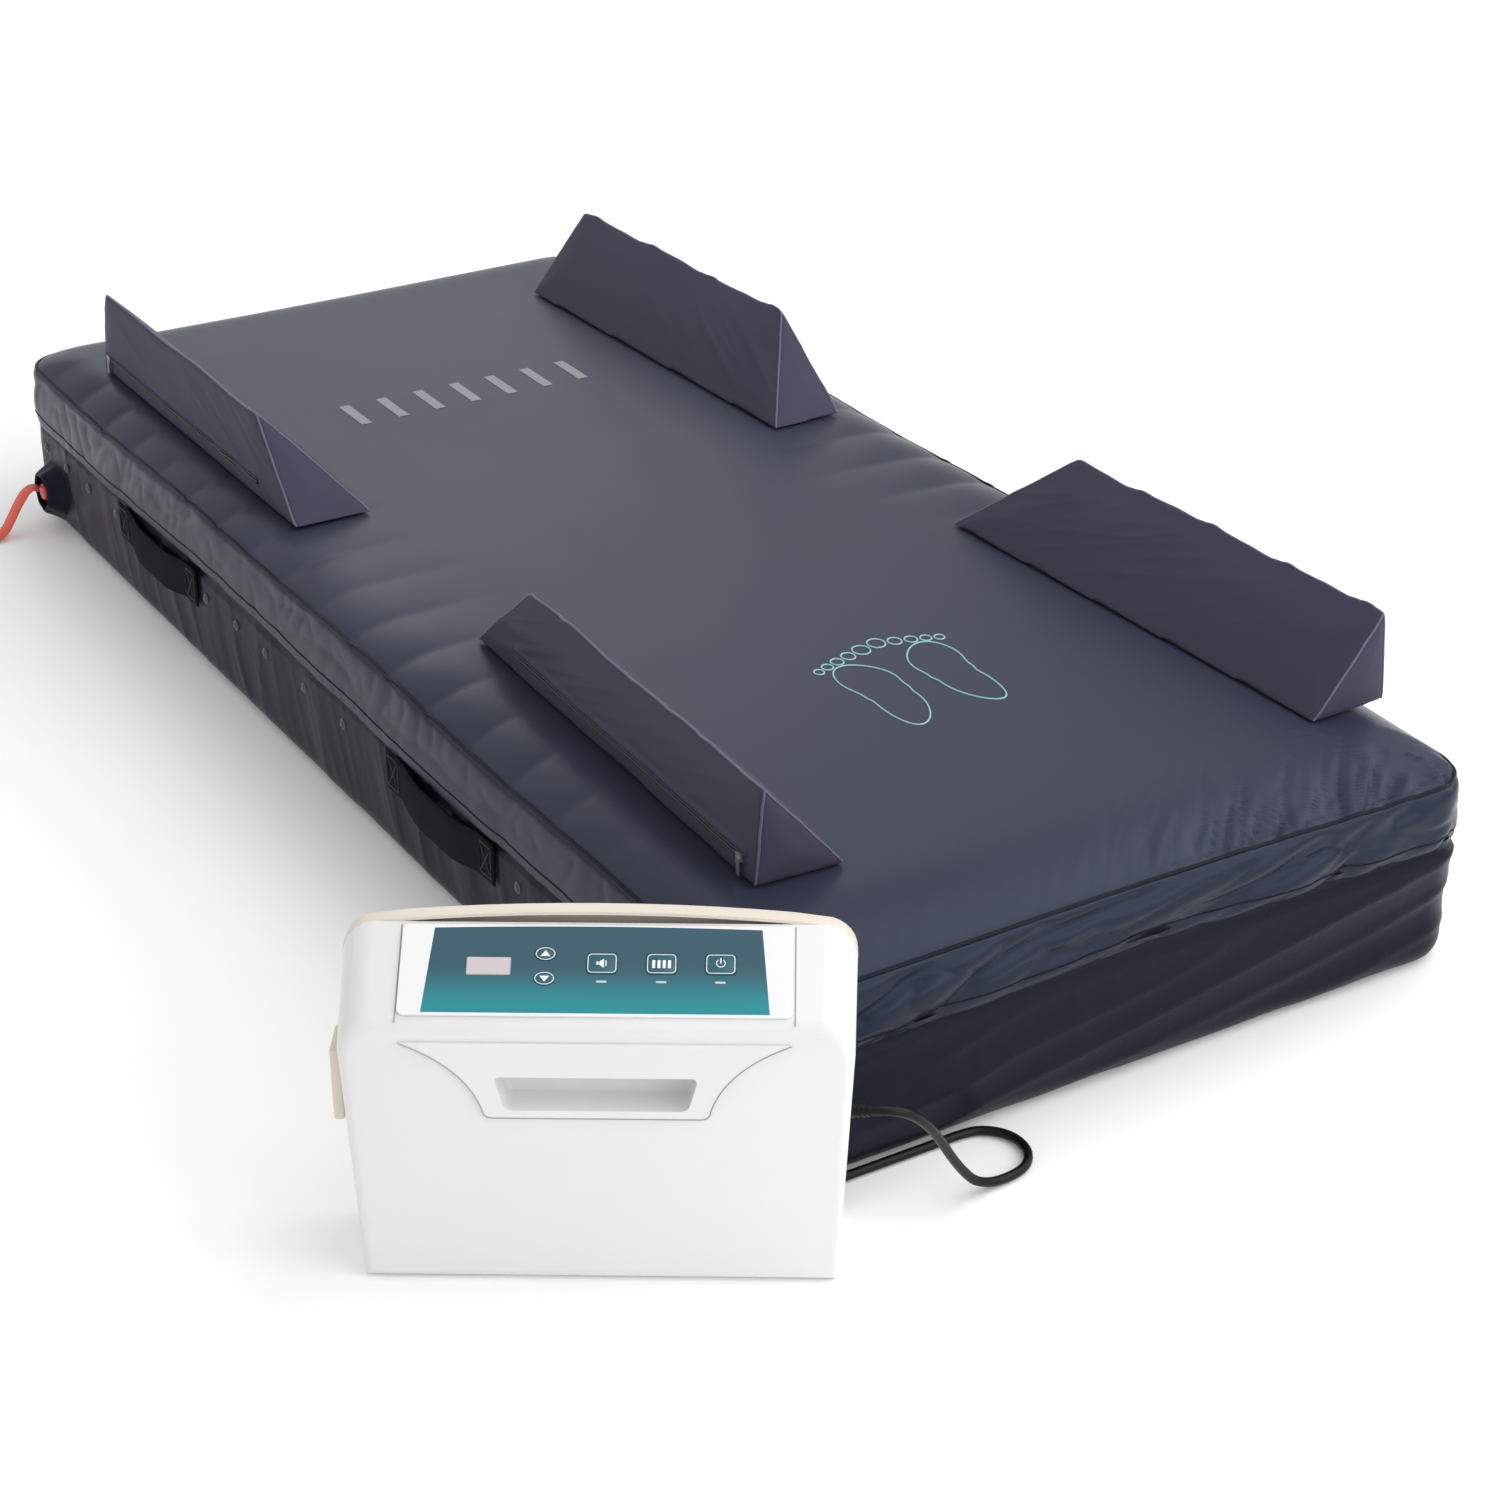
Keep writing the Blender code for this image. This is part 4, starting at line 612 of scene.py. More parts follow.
def crease_cover(cover, top_cloth, flap_painted_shade):
    """Gathers above the seam at the foot, and folds that sag in the flap below it."""
    co = coords(cover)
    facing_out = face_normals(cover)
    outside, normal, edge = edge_frame(co, HALF_X, HALF_Y, COVER_CORNER)
    tangent = np.column_stack([-normal[:, 1], normal[:, 0]])
    foot = np.clip(-normal[:, 1], 0, 1)
    seam = seam_height(edge, normal)
    low = (co[:, 2] < seam - 0.0015) & (outside > -0.012)
    inset = np.clip(-outside, 0, None)
    right_end = ramp(-0.10, 0.22, edge[:, 0])
    gather = foot * (0.03 + 0.97 * right_end) * np.exp(-(inset / 0.075) ** 1.5) * ~low
    gather *= 0.35 + 0.65 * ramp(0.0, 0.010, inset)
    fan = np.column_stack([edge - tangent * (0.9 * inset)[:, None], inset * 0.22])
    pulled = ridged(fan, 24.0, 3.1) + 0.7 * ridged(fan, 51.0, 8.7)
    lift = GATHER_DEPTH * gather * (pulled - 0.72)
    down = np.clip((seam - co[:, 2]) / (SEAM_Z - HEM), 0, 1)
    swag = np.column_stack([edge + tangent * (0.10 * down)[:, None], 0.19 * down])
    broad = ridged(swag, 6.8, 5.2) - 0.42
    narrow = ridged(swag, 15.0, 11.4) - 0.42
    tuck = ridged(np.column_stack([edge + tangent * (0.03 * down)[:, None], 0.05 * down]), 25.0, 2.5) - 0.42
    middle = low * np.clip(5.0 * down, 0, 1) * (1 - 0.6 * down)
    lift += middle * foot * (FOOT_FOLDS[0] * broad + FOOT_FOLDS[1] * narrow)
    lift += middle * (1 - foot) * (SIDE_FOLDS[0] * broad + SIDE_FOLDS[1] * tuck)
    co += facing_out * lift[:, None]
    groove = np.exp(-((co[:, 2] - seam) / GROOVE_WIDTH) ** 2) * (outside > -0.008)
    co[:, :2] -= normal * (GROOVE_DEPTH * groove)[:, None]
    outside = edge_frame(co, HALF_X, HALF_Y, COVER_CORNER)[0]
    push = np.clip(FLAP_LEAST - outside, 0, None) * low
    pull = np.clip(outside - FLAP_MOST, 0, None)
    co[:, :2] += normal * (push - pull)[:, None]
    co[:, 2] = np.minimum(co[:, 2], TOP + TOP_PROUD)
    set_coords(cover, co)
    # The flap's faces below the seam take the darker flap cloth: painted shade, the top's own cloth made
    # darker.
    cover.data.materials.append(top_cloth)
    cover.data.materials.append(flap_painted_shade)
    for face in cover.data.polygons:
        face.material_index = int(low[list(face.vertices)].all())


# The base cover's creases: upright strokes, slanting streaks at the foot and the wavy lower edge
STROKE_DEPTH = 0.0042
STREAK_DEPTH = 0.0150
WOBBLE = 0.004
# How far it may stand out of its outline, at least (above its turned edge) and at most (below the flap)
BASE_LEAST, BASE_MOST = -0.008, 0.012
BASE_CLEAR = 0.012
BASE_TUCK = 0.012
FLOOR_GAP = 0.0002


def crease_base(cover, high):
    """Creases that hang, slant and wander on the base cover, kept within reach of its outline."""
    co = coords(cover)
    outside, normal, edge = edge_frame(co, high.x, high.y, BASE_CORNER)
    tangent = np.column_stack([-normal[:, 1], normal[:, 0]])
    foot = np.clip(-normal[:, 1], 0, 1)
    z = co[:, 2].copy()
    upright = np.column_stack([edge + tangent * (0.28 * z)[:, None], 0.16 * z])
    strokes = ridged(upright, 12.0, 6.6) + 0.2 * ridged(upright, 31.0, 1.3) - 0.50
    drawn = np.column_stack([z * 15.0 - edge[:, 0] * 2.6, edge[:, 1] * 3.0, edge[:, 0] * 2.2])
    streak = 0.8 * noise_at(drawn, 0.8, 9.9) + 0.25 * ridged(drawn, 1.5, 4.6) - 0.10
    gate = np.sin(math.pi * np.clip(z / 0.19, 0, 1)) ** 0.6
    depth = gate * (STROKE_DEPTH * strokes * (1 - 0.75 * foot) + STREAK_DEPTH * streak * foot)
    co[:, :2] += normal * depth[:, None]
    wobble = noise_at(np.column_stack([edge * 11.0, np.zeros(len(co))]), 1.0, 4.4)
    co[:, 2] += WOBBLE * np.clip(wobble, 0, 1) * ramp(0.05, 0.0, z) * (z > 0.002)
    outside = edge_frame(co, high.x, high.y, BASE_CORNER)[0]
    co[:, :2] += normal * (np.clip(BASE_LEAST - outside, 0, None) * (z > BASE_CLEAR))[:, None]
    limit = np.where(z > HEM - BASE_TUCK, 0.0, BASE_MOST)
    co[:, :2] -= normal * np.clip(outside - limit, 0, None)[:, None]
    co[:, 2] = np.maximum(co[:, 2], FLOOR_GAP)
    set_coords(cover, co)


def build_base_cover(material):
    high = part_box("base_cover")[1]
    points, normals, spine = outline(high.x, high.y, BASE_CORNER, AROUND)
    rings, loose = [], []
    for z in np.linspace(BASE_TOP, BASE_FOOT, 23):
        belly = 0.004 * math.sin(math.pi * min(1.0, z / 0.17)) ** 0.7
        rings.append(np.column_stack([points + normals * belly, np.full(AROUND, z)]))
        loose.append(np.full(AROUND, 0.2 if z > 0.19 else 0.9))
    for inset, z in BASE_TURN:
        rings.append(np.column_stack([points - normals * inset, np.full(AROUND, z)]))
        loose.append(np.full(AROUND, 0.3 if z > 0.003 else 0.0))
    for share in (0.15, 0.4, 0.7, 1.0):
        plan = points + (spine - points) * share
        rings.append(np.column_stack([plan, np.full(AROUND, UNDERSIDE)]))
        loose.append(np.zeros(AROUND))
    cover = loft("base_cover_skin", rings)
    settle(cover, np.concatenate(loose), growth=0.04, bend=0.25, cap=0.008)
    subdivide(cover)
    crease_base(cover, high)
    dress(cover, material, "mattress")
    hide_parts("base_cover", "base_bladder")
    return cover


def build_seams(material, seam_ring, hem_ring, normals):
    """Piping in the seam, and the stitched edge along the hem."""
    out = np.column_stack([normals, np.zeros(len(normals))])
    seam = (seam_ring + out * SEAM_LIFT).tolist()
    piping = tube("cover_piping", seam, SEAM_PIPE, cyclic=True, resolution=2)
    dress(piping, material, "mattress")
    hem = (hem_ring + out * HEM_LIFT).tolist()
    stitch = tube("hem_stitching", hem, HEM_THREAD, cyclic=True, resolution=1)
    dress(stitch, material, "mattress")


# ---------------------------------------------------------------- bolsters

WEDGE_WIDTH = 0.106
WEDGE_LENGTH = 0.655
WEDGE_HEIGHT = 0.112
WEDGE_LEAN = 0.010
WEDGE_SLOPE_RUN = 0.130
WEDGE_ROUND = 0.0018
ZIP_HEIGHT = 0.024
ZIP_START = 0.018
ZIP_END = 0.545
ZIP_PULL_ROOM = 0.014
WEDGE_VOXEL = 0.0055
SEAM_RADIUS = 0.0014
# part: height above the zip's middle, radius and lift off the cloth
ZIP_STRIPS = {
    "coil": (0.0, 0.0019, 0.0006),
    "tape": (-0.0045, 0.0011, 0.0001),
    "lip": (0.0050, 0.0013, 0.0006),
}
# Where each bolster's creases start in the noise
CREASE_PHASE = {"head_left": 0.0, "head_right": 2.3, "foot_left": 4.1, "foot_right": 6.7}
# name: x and y of the outer corner at the upright end, yaw in degrees, inward and lengthways signs
BOLSTERS = {
    "head_left": (-0.393, 0.845, 0.0, 1, -1),
    "head_right": (0.372, 0.820, 2.0, -1, -1),
    "foot_left": (-0.366, -0.862, -2.0, 1, 1),
    "foot_right": (0.446, -0.868, 2.5, -1, 1),
}


def surface_of(piece):
    graph = bpy.context.evaluated_depsgraph_get()
    return BVHTree.FromObject(piece, graph)


def on_surface(tree, points, lift, outward=None):
    """The points moved onto the surface, and lifted off it."""
    found = []
    for point in points:
        place, normal, _, _ = tree.find_nearest(point)
        found.append(place + (outward or normal) * lift)
    return found


def even_line(start, end, step=0.008):
    start, end = Vector(start), Vector(end)
    count = max(2, round((end - start).length / step))
    return [start.lerp(end, i / count) for i in range(count + 1)]


def wedge_planes():
    """The wedge's faces as outward normals and distances: bottom, upright end, outer, inner, slope."""
    lean, width, height = WEDGE_LEAN, WEDGE_WIDTH, WEDGE_HEIGHT
    planes = np.array([(0, 0, -1, 0), (0, -1, 0, 0), (-height, 0, lean, 0),
                       (height, 0, width - lean, height * width),
                       (0, height, WEDGE_SLOPE_RUN, height * WEDGE_LENGTH)], float)
    return planes / np.linalg.norm(planes[:, :3], axis=1)[:, None]


def wedge_distance(points, planes):
    """Distance from the wedge with rounded edges, its direction, and the distance from each face."""
    reach = points @ planes[:, :3].T - planes[:, 3]
    weight = np.exp((reach - reach.max(1, keepdims=True)) / WEDGE_ROUND)
    total = weight.sum(1, keepdims=True)
    slope = (weight / total) @ planes[:, :3]
    slope /= np.linalg.norm(slope, axis=1, keepdims=True)
    return reach.max(1) + WEDGE_ROUND * np.log(total[:, 0]), slope, reach


# Depths of a bolster's ridge waves, outer and inner creases, drag lines and fold over the zip
RIDGE_WAVE = 0.0020
OUTER_CREASE, INNER_CREASE = 0.0044, 0.0030
DRAG_DEPTH = 0.0018
ZIP_FOLD = 0.0022
ZIP_FOLD_ABOVE, ZIP_FOLD_WIDTH = 0.009, 0.0035
SEAT_GAP = 0.0006


def crease_bolster(inside, phase):
    """A wavy ridge, pulled creases and the fold over the zip, on points in the wedge's own frame."""
    across, along, height = inside.T.copy()
    span = np.sin(math.pi * np.clip(along / WEDGE_LENGTH, 0, 1)) ** 0.6
    ridge = np.clip(height / WEDGE_HEIGHT, 0, 1) ** 3
    inside[:, 2] += ridge * span * RIDGE_WAVE * np.sin(along * 24.0 + phase) * (1 - 0.4 * np.sin(along * 9.0))
    outer = ramp(0.03, 0.0, across - WEDGE_LEAN * height / WEDGE_HEIGHT)
    pulled = np.column_stack([along * 9.0 + height * 26.0, height * 7.0, np.full(len(inside), phase)])
    slack = 0.25 + 0.75 * ramp(0.22, 0.50, along)
    crease = ridged(pulled, 1.0, 1.7) + 0.5 * ridged(pulled, 2.4, 7.1) - 0.55
    rise = np.sin(math.pi * np.clip(height / WEDGE_HEIGHT, 0, 1))
    inside[:, 0] -= OUTER_CREASE * outer * slack * span * crease * rise
    inside[:, 2] += INNER_CREASE * (1 - outer) * slack * span * crease * rise
    drag = np.column_stack([along * 5.0, height * 30.0, np.full(len(inside), phase)])
    inside[:, 0] -= DRAG_DEPTH * outer * span * noise_at(drag, 1.0, 2.0)
    zip_fold = np.exp(-((height - ZIP_HEIGHT - ZIP_FOLD_ABOVE) / ZIP_FOLD_WIDTH) ** 2)
    inside[:, 0] -= ZIP_FOLD * outer * (zip_fold * (along > ZIP_START) * (along < ZIP_END))
    inside[:, 2] = np.maximum(inside[:, 2], SEAT_GAP)


def trim_bolster(label, place, tree, cloth_material, seam_highlight_material, zip_material):
    """Raised seams along the wedge's edges, in a lighter cloth that paints the highlight along the ridge and
    the ends, and the zip's teeth, tape and lip on its outer face.
    """
    corners = {
        "outer": place(0, 0, 0), "inner": place(WEDGE_WIDTH, 0, 0),
        "ridge": place(WEDGE_LEAN, 0, WEDGE_HEIGHT),
        "outer_end": place(0, WEDGE_LENGTH, 0), "inner_end": place(WEDGE_WIDTH, WEDGE_LENGTH, 0),
        "ridge_end": place(WEDGE_LEAN, WEDGE_LENGTH - WEDGE_SLOPE_RUN, WEDGE_HEIGHT),
    }
    seams = [("ridge", "ridge_end"), ("outer", "ridge"), ("ridge", "inner"),
             ("outer_end", "ridge_end"), ("ridge_end", "inner_end")]
    for number, (start, end) in enumerate(seams):
        line = on_surface(tree, even_line(corners[start], corners[end]), 0.0002)
        seam = tube(f"bolster_seam_{label}_{number}", line, SEAM_RADIUS, resolution=2)
        dress(seam, seam_highlight_material, "mattress")

    outward = (place(-1, 0, 0) - place(0, 0, 0)).normalized()
    for part, (above, radius, lift) in ZIP_STRIPS.items():
        height_at = ZIP_HEIGHT + above
        lean = WEDGE_LEAN * height_at / WEDGE_HEIGHT
        line = even_line(place(lean, ZIP_START + ZIP_PULL_ROOM * (part == "coil"), height_at),
                         place(lean, ZIP_END, height_at), 0.006)
        strip = tube(f"zip_{part}_{label}", on_surface(tree, line, lift, outward), radius, resolution=2)
        if part == "lip":
            dress(strip, cloth_material, "mattress")
        else:
            dress(strip, zip_material, "mattress")


def build_bolster(label, placing, cloth_material, seam_highlight_material, zip_material):
    x, y, yaw, inward, lengthways = placing
    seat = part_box(f"bolster_cover_{label}")[0].z
    holder = Matrix.Translation((x, y, seat)) @ Matrix.Rotation(math.radians(yaw), 4, "Z")

    def place(a, b, c):
        return holder @ Vector((inward * a, lengthways * b, c))

    bm = bmesh.new()
    ends = ((0.0, 0.0, 0.0), (WEDGE_WIDTH, 0.0, 0.0), (WEDGE_LEAN, 0.0, WEDGE_HEIGHT),
            (0.0, WEDGE_LENGTH, 0.0), (WEDGE_WIDTH, WEDGE_LENGTH, 0.0),
            (WEDGE_LEAN, WEDGE_LENGTH - WEDGE_SLOPE_RUN, WEDGE_HEIGHT))
    bmesh.ops.convex_hull(bm, input=[bm.verts.new(place(*end)) for end in ends])
    cover = mesh_of(f"bolster_skin_{label}", bm)
    remesh = cover.modifiers.new("Remesh", "REMESH")
    remesh.mode = "VOXEL"
    remesh.voxel_size = WEDGE_VOXEL
    apply_modifiers(cover)
    world = np.array(holder)
    local = np.array(holder.inverted())
    mirror = np.array([inward, lengthways, 1.0])
    planes = wedge_planes()
    inside = (coords(cover) @ local[:3, :3].T + local[:3, 3]) * mirror
    for _ in range(3):
        height, slope, reach = wedge_distance(inside, planes)
        inside -= slope * height[:, None]
    reach = np.sort(wedge_distance(inside, planes)[2], axis=1)
    gap = reach[:, -1] - reach[:, -2]
    resting = inside[:, 2] < 0.004
    inside += slope * (0.0032 * ramp(0.0, 0.035, gap) * ~resting)[:, None]
    set_coords(cover, (inside * mirror) @ world[:3, :3].T + world[:3, 3])
    free = np.where(resting, 0.0, 0.12 + 0.80 * ramp(0.003, 0.022, gap))
    settle(cover, free, growth=0.024, frames=16, pressure=1.6, bend=0.5, cap=0.0042)
    subdivide(cover)
    inside = (coords(cover) @ local[:3, :3].T + local[:3, 3]) * mirror
    crease_bolster(inside, CREASE_PHASE[label])
    inside *= mirror
    set_coords(cover, inside @ world[:3, :3].T + world[:3, 3])
    dress(cover, cloth_material, "mattress")
    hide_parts(f"bolster_cover_{label}", f"bolster_foam_{label}")

    trim_bolster(label, place, surface_of(cover), cloth_material, seam_highlight_material, zip_material)


# ---------------------------------------------------------------- handles, studs and release

HANDLE_WIDTH = 0.050
HANDLE_LENGTH = 0.270
HANDLE_TAB = 0.036
HANDLE_STEPS = 40
# The share of the CAD strap's reach that the loop bows out by
HANDLE_BOW = 0.32
HANDLE_GAP = 0.0030
HANDLE_DROOP = 0.006
WEBBING_THICK = 0.0022
WEBBING_SINK = 0.0003
# Across the webbing as a share of its width, and out of the wall as a share of its thickness
WEBBING_SECTION = ((-0.5, 0.0), (-0.5, 1.0), (-0.25, 1.15), (0.0, 1.2), (0.25, 1.15), (0.5, 1.0), (0.5, 0.0))
# The sewn box and cross on a tab, and how far in from the tab's edges it is
BOX_STITCH = ((-1, -1), (1, -1), (1, 1), (-1, 1), (-1, -1), (1, 1), (1, -1), (-1, 1))
STITCH_INSET = (0.005, 0.006)


def build_handle(end, side, webbing, thread):
    """A webbing loop that sags between two sewn tabs."""
    node_name = f"carry_handle_{end}_{side}"
    low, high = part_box(node_name)
    sign = 1 if side == "right" else -1
    wall = low.x if sign > 0 else high.x
    middle = (low.y + high.y) / 2
    bow = HANDLE_BOW * (high.x - low.x - HANDLE_GAP)
    half = HANDLE_LENGTH / 2
    rings = []
    for index in range(HANDLE_STEPS + 1):
        y = -half + 2 * half * index / HANDLE_STEPS
        t = np.clip((abs(y) - (half - HANDLE_TAB)) / -(half - HANDLE_TAB), 0, 1)
        rise = math.sin(math.pi / 2 * min(1.0, 1.5 * t)) ** 1.3 if t > 0 else 0.0
        droop = HANDLE_DROOP * rise
        ring = []
        for across, thick in WEBBING_SECTION:
            tilt = 0.003 * rise * (0.5 - across)
            ring.append((wall + sign * (bow * rise + WEBBING_THICK * thick + tilt - WEBBING_SINK), middle + y,
                         high.z - HANDLE_WIDTH / 2 + across * HANDLE_WIDTH - droop))
        rings.append(ring)
    strap = loft(f"handle_webbing_{end}_{side}", rings, caps=True)
    smooth(strap)
    dress(strap, webbing, node_name)
    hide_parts(node_name)
    face = wall + sign * 0.0026
    for number, tab in enumerate((-1, 1)):
        centre = middle + tab * (half - HANDLE_TAB / 2)
        reach, tall = HANDLE_TAB / 2 - STITCH_INSET[0], HANDLE_WIDTH / 2 - STITCH_INSET[1]
        mid_z = high.z - HANDLE_WIDTH / 2
        sewn = []
        for start, stop in zip(BOX_STITCH, BOX_STITCH[1:]):
            sewn += [(face, centre + reach * (start[0] + (stop[0] - start[0]) * k / 8),
                      mid_z + tall * (start[1] + (stop[1] - start[1]) * k / 8)) for k in range(8)]
        stitch = tube(f"handle_stitch_{end}_{side}_{number}", sewn, 0.0006, resolution=1)
        dress(stitch, thread, node_name)


STUD_Y = (0.951, 0.861, 0.777, 0.671, 0.350, 0.255, 0.161, 0.047, -0.067, -0.197, -0.518, -0.640)
STUD_Z = 0.115
CLEAR_OF_SIDE = 0.60
# Radius and height out of the cloth along the stud
STUD_PROFILE = ((0.0072, -0.002), (0.0072, 0.0006), (0.0062, 0.0014), (0.0052, 0.0012), (0.0044, 0.0024),
                (0.0026, 0.0032), (0.0008, 0.0034))


def turned(name, profile, places, axis, steps=20):
    """Copies of a profile of (radius, height) turned about an axis at each place, as one mesh."""
    bm = bmesh.new()
    turn = Vector(axis).to_track_quat("Z", "Y").to_matrix()
    for place in places:
        rows = []
        for radius, height in profile:
            rows.append([bm.verts.new(Vector(place) + turn @ Vector((
                radius * math.cos(2 * math.pi * k / steps), radius * math.sin(2 * math.pi * k / steps),
                height))) for k in range(steps)])
        for first, second in zip(rows, rows[1:]):
            for k in range(steps):
                bm.faces.new((first[k], first[(k + 1) % steps], second[(k + 1) % steps], second[k]))
        bm.faces.new(rows[0][::-1])
        bm.faces.new(rows[-1])
    bmesh.ops.recalc_face_normals(bm, faces=bm.faces)
    piece = mesh_of(name, bm)
    smooth(piece)
    return piece


def build_studs(tree, material):
    for side, sign in (("left", -1), ("right", 1)):
        places = []
        for y in STUD_Y:
            hit = tree.ray_cast(Vector((sign * CLEAR_OF_SIDE, y, STUD_Z)), Vector((-sign, 0, 0)))[0]
            places.append((hit.x, y, STUD_Z))
        studs = turned(f"snap_studs_{side}", STUD_PROFILE, places, (sign, 0, 0))
        dress(studs, material, "mattress")


# The sleeve: its rings as reach out of the wall and radius, and how deep its root is in the wall
SLEEVE_PROFILE = ((0.0, 0.046), (0.006, 0.041), (0.013, 0.036), (0.020, 0.032), (0.026, 0.0285),
                  (0.0285, 0.0262), (0.0275, 0.0240), (0.022, 0.0236), (0.012, 0.0240))
SLEEVE_POINTS = 48
SLEEVE_ROOT = 0.006
STRAP_WIDTH = 0.025
STRAP_THICKNESS = 0.0016
STRAP_ROUTE = (
    (-0.4800, 0.930, 0.0640),
    (-0.4880, 0.932, 0.0665),
    (-0.4980, 0.933, 0.0620),
    (-0.5120, 0.932, 0.0460),
    (-0.5250, 0.931, 0.0260),
    (-0.5390, 0.930, 0.0085),
    (-0.5600, 0.929, 0.0022),
    (-0.6000, 0.926, 0.0016),
    (-0.6700, 0.921, 0.0014),
)
# Across the strap as a share of its half width, and up as a share of its thickness
STRAP_SECTION = ((-1, 0), (-0.96, 1), (0, 1.15), (0.96, 1), (1, 0))


def build_release(cloth, webbing, thread):
    """A cloth sleeve round the release valve, and the pull strap with its sewn end."""
    low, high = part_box("cpr_valve")
    centre = (low + high) / 2
    wall = -HALF_X + SLEEVE_ROOT
    rings = []
    for out, radius in SLEEVE_PROFILE:
        ring = []
        for k in range(SLEEVE_POINTS):
            angle = 2 * math.pi * k / SLEEVE_POINTS
            pucker = 1 + 0.05 * math.sin(7 * angle + out * 60) * (0.4 + 25 * out) + 0.03 * math.sin(3 * angle)
            ring.append((wall - out, centre.y + radius * pucker * math.cos(angle),
                         max(0.004, centre.z + radius * pucker * math.sin(angle))))
        rings.append(ring)
    sleeve = loft("release_sleeve", rings)
    subdivide(sleeve)
    dress(sleeve, cloth, "mattress")
    route = smooth_points(STRAP_ROUTE, 0.006)
    edges = []
    for index, point in enumerate(route):
        ahead = route[min(index + 1, len(route) - 1)] - route[max(index - 1, 0)]
        across = ahead.cross(Vector((0, 0, 1))).normalized()
        up = across.cross(ahead).normalized()
        edges.append([point + across * a * STRAP_WIDTH / 2 + up * u * STRAP_THICKNESS
                      for a, u in STRAP_SECTION])
    strap = loft("release_strap", edges, caps=True)
    smooth(strap)
    dress(strap, webbing, "cpr_plug")
    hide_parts("cpr_strap")
    end = route[-1]
    back = (route[-6] - end).normalized()
    sideways = back.cross(Vector((0, 0, 1))).normalized()
    above = Vector((0, 0, STRAP_THICKNESS * 1.2))
    for number, gap in enumerate((0.006, 0.012)):
        line = [end + back * gap + sideways * s * (STRAP_WIDTH / 2 - 0.002) + above
                for s in np.linspace(-1, 1, 12)]
        stitch = tube(f"strap_stitch_{number}", line, 0.0004, resolution=1)
        dress(stitch, thread, "cpr_plug")


# ---------------------------------------------------------------- print on the cover

def height_on(tree, x, y):
    return tree.ray_cast(Vector((x, y, 0.5)), Vector((0, 0, -1)))[0].z


FEET = (((-0.012, -0.566), -1), ((0.0790, -0.560), 1))
FOOT_SCALE = 0.98
FOOT_HALF_LENGTH = 0.085
HEEL, BALL, WAIST = 0.030, 0.040, 0.024
# Each toe's place across the foot and its radius, from the big toe out
TOES = ((-0.034, 0.0108), (-0.0120, 0.0084), (0.0070, 0.0076), (0.0242, 0.0068), (0.0394, 0.0060))
TOE_LINE = 0.109
TOE_STEP = 0.0060
INK_RADIUS = 0.0011
INK_LIFT = 0.0002

BAR_COUNT = 7
BAR_PITCH = 0.055
BAR_FIRST = -0.165
BAR_HALF = 0.0075
BAR_SPAN = (0.470, 0.545)
BAR_LIFT = 0.0004


def footprint(centre, mirror):
    """A plain footprint: one rounded sole outline and five toes."""
    points = []
    for k in range(48):
        angle = 2 * math.pi * k / 48
        length = math.sin(angle)
        width = HEEL if length < 0 else BALL
        width -= (width - WAIST) * math.exp(-((length - 0.05) / 0.35) ** 2) * 0.7
        across = width * math.cos(angle) + 0.010 * length ** 2
        points.append((centre[0] + mirror * FOOT_SCALE * across,
                       centre[1] + FOOT_SCALE * FOOT_HALF_LENGTH * length))
    lines = [points]
    for toe, (offset, radius) in enumerate(TOES):
        x = centre[0] + mirror * FOOT_SCALE * offset
        y = centre[1] + FOOT_SCALE * (TOE_LINE - TOE_STEP * toe)
        size = FOOT_SCALE * radius
        angles = [2 * math.pi * k / 12 for k in range(12)]
        lines.append([(x + size * math.cos(a), y + 1.15 * size * math.sin(a)) for a in angles])
    return lines


def build_prints(tree, ink, pale_ink):
    """A footprint pair for the foot end and a row of cell bars for the head end."""
    lines = [line for centre, mirror in FEET for line in footprint(centre, mirror)]
    for number, points in enumerate(lines):
        placed = [(x, y, height_on(tree, x, y) + INK_LIFT) for x, y in points]
        line = tube(f"foot_mark_{number}", placed, INK_RADIUS, resolution=1, cyclic=True)
        dress(line, ink, "mattress")
    for number in range(BAR_COUNT):
        middle = BAR_FIRST + BAR_PITCH * number
        rows = [[(x, y, height_on(tree, x, y) + BAR_LIFT)
                 for x in (middle - BAR_HALF, middle, middle + BAR_HALF)] for y in np.linspace(*BAR_SPAN, 12)]
        bar = loft(f"cell_mark_{number}", rows, cyclic=False)
        dress(bar, pale_ink, "mattress")


# ---------------------------------------------------------------- pump

def deck_plate(name, points, low, high, matrix=DECK):
    """A flat prism with an outline across and up the deck."""
    bm = bmesh.new()
    top = [bm.verts.new(matrix @ Vector((x, y, high))) for x, y in points]
    bottom = [bm.verts.new(matrix @ Vector((x, y, low))) for x, y in points]
    bm.faces.new(top)
    bm.faces.new(bottom[::-1])
    for k in range(len(points)):
        n = (k + 1) % len(points)
        bm.faces.new((top[k], bottom[k], bottom[n], top[n]))
    bmesh.ops.recalc_face_normals(bm, faces=bm.faces)
    return mesh_of(name, bm)


CORNER_STEPS = 5


def rounded(width, height, corner, centre):
    points = []
    for quarter in range(4):
        sx = 1 if quarter in (0, 3) else -1
        sy = 1 if quarter < 2 else -1
        for k in range(CORNER_STEPS + 1):
            angle = math.pi / 2 * (quarter + k / CORNER_STEPS)
            points.append((centre[0] + sx * (width / 2 - corner) + corner * math.cos(angle),
                           centre[1] + sy * (height / 2 - corner) + corner * math.sin(angle)))
    return points


BUTTON_TOP = 0.0037
INK = 0.00012
INK_ROOT = 0.0002
RIM_RADIUS = 0.00042
# name: place across and up the deck, width and height
BUTTONS = {
    "button_up": (-0.0475, 0.0745, 0.0196, 0.0142),
    "button_down": (-0.0475, 0.0490, 0.0196, 0.0142),
    "button_mute": (0.0045, 0.0650, 0.0286, 0.0218),
    "button_static": (0.0590, 0.0650, 0.0286, 0.0218),
    "button_power": (0.1130, 0.0650, 0.0286, 0.0218),
}
ROUND_BUTTONS = ("button_up", "button_down")
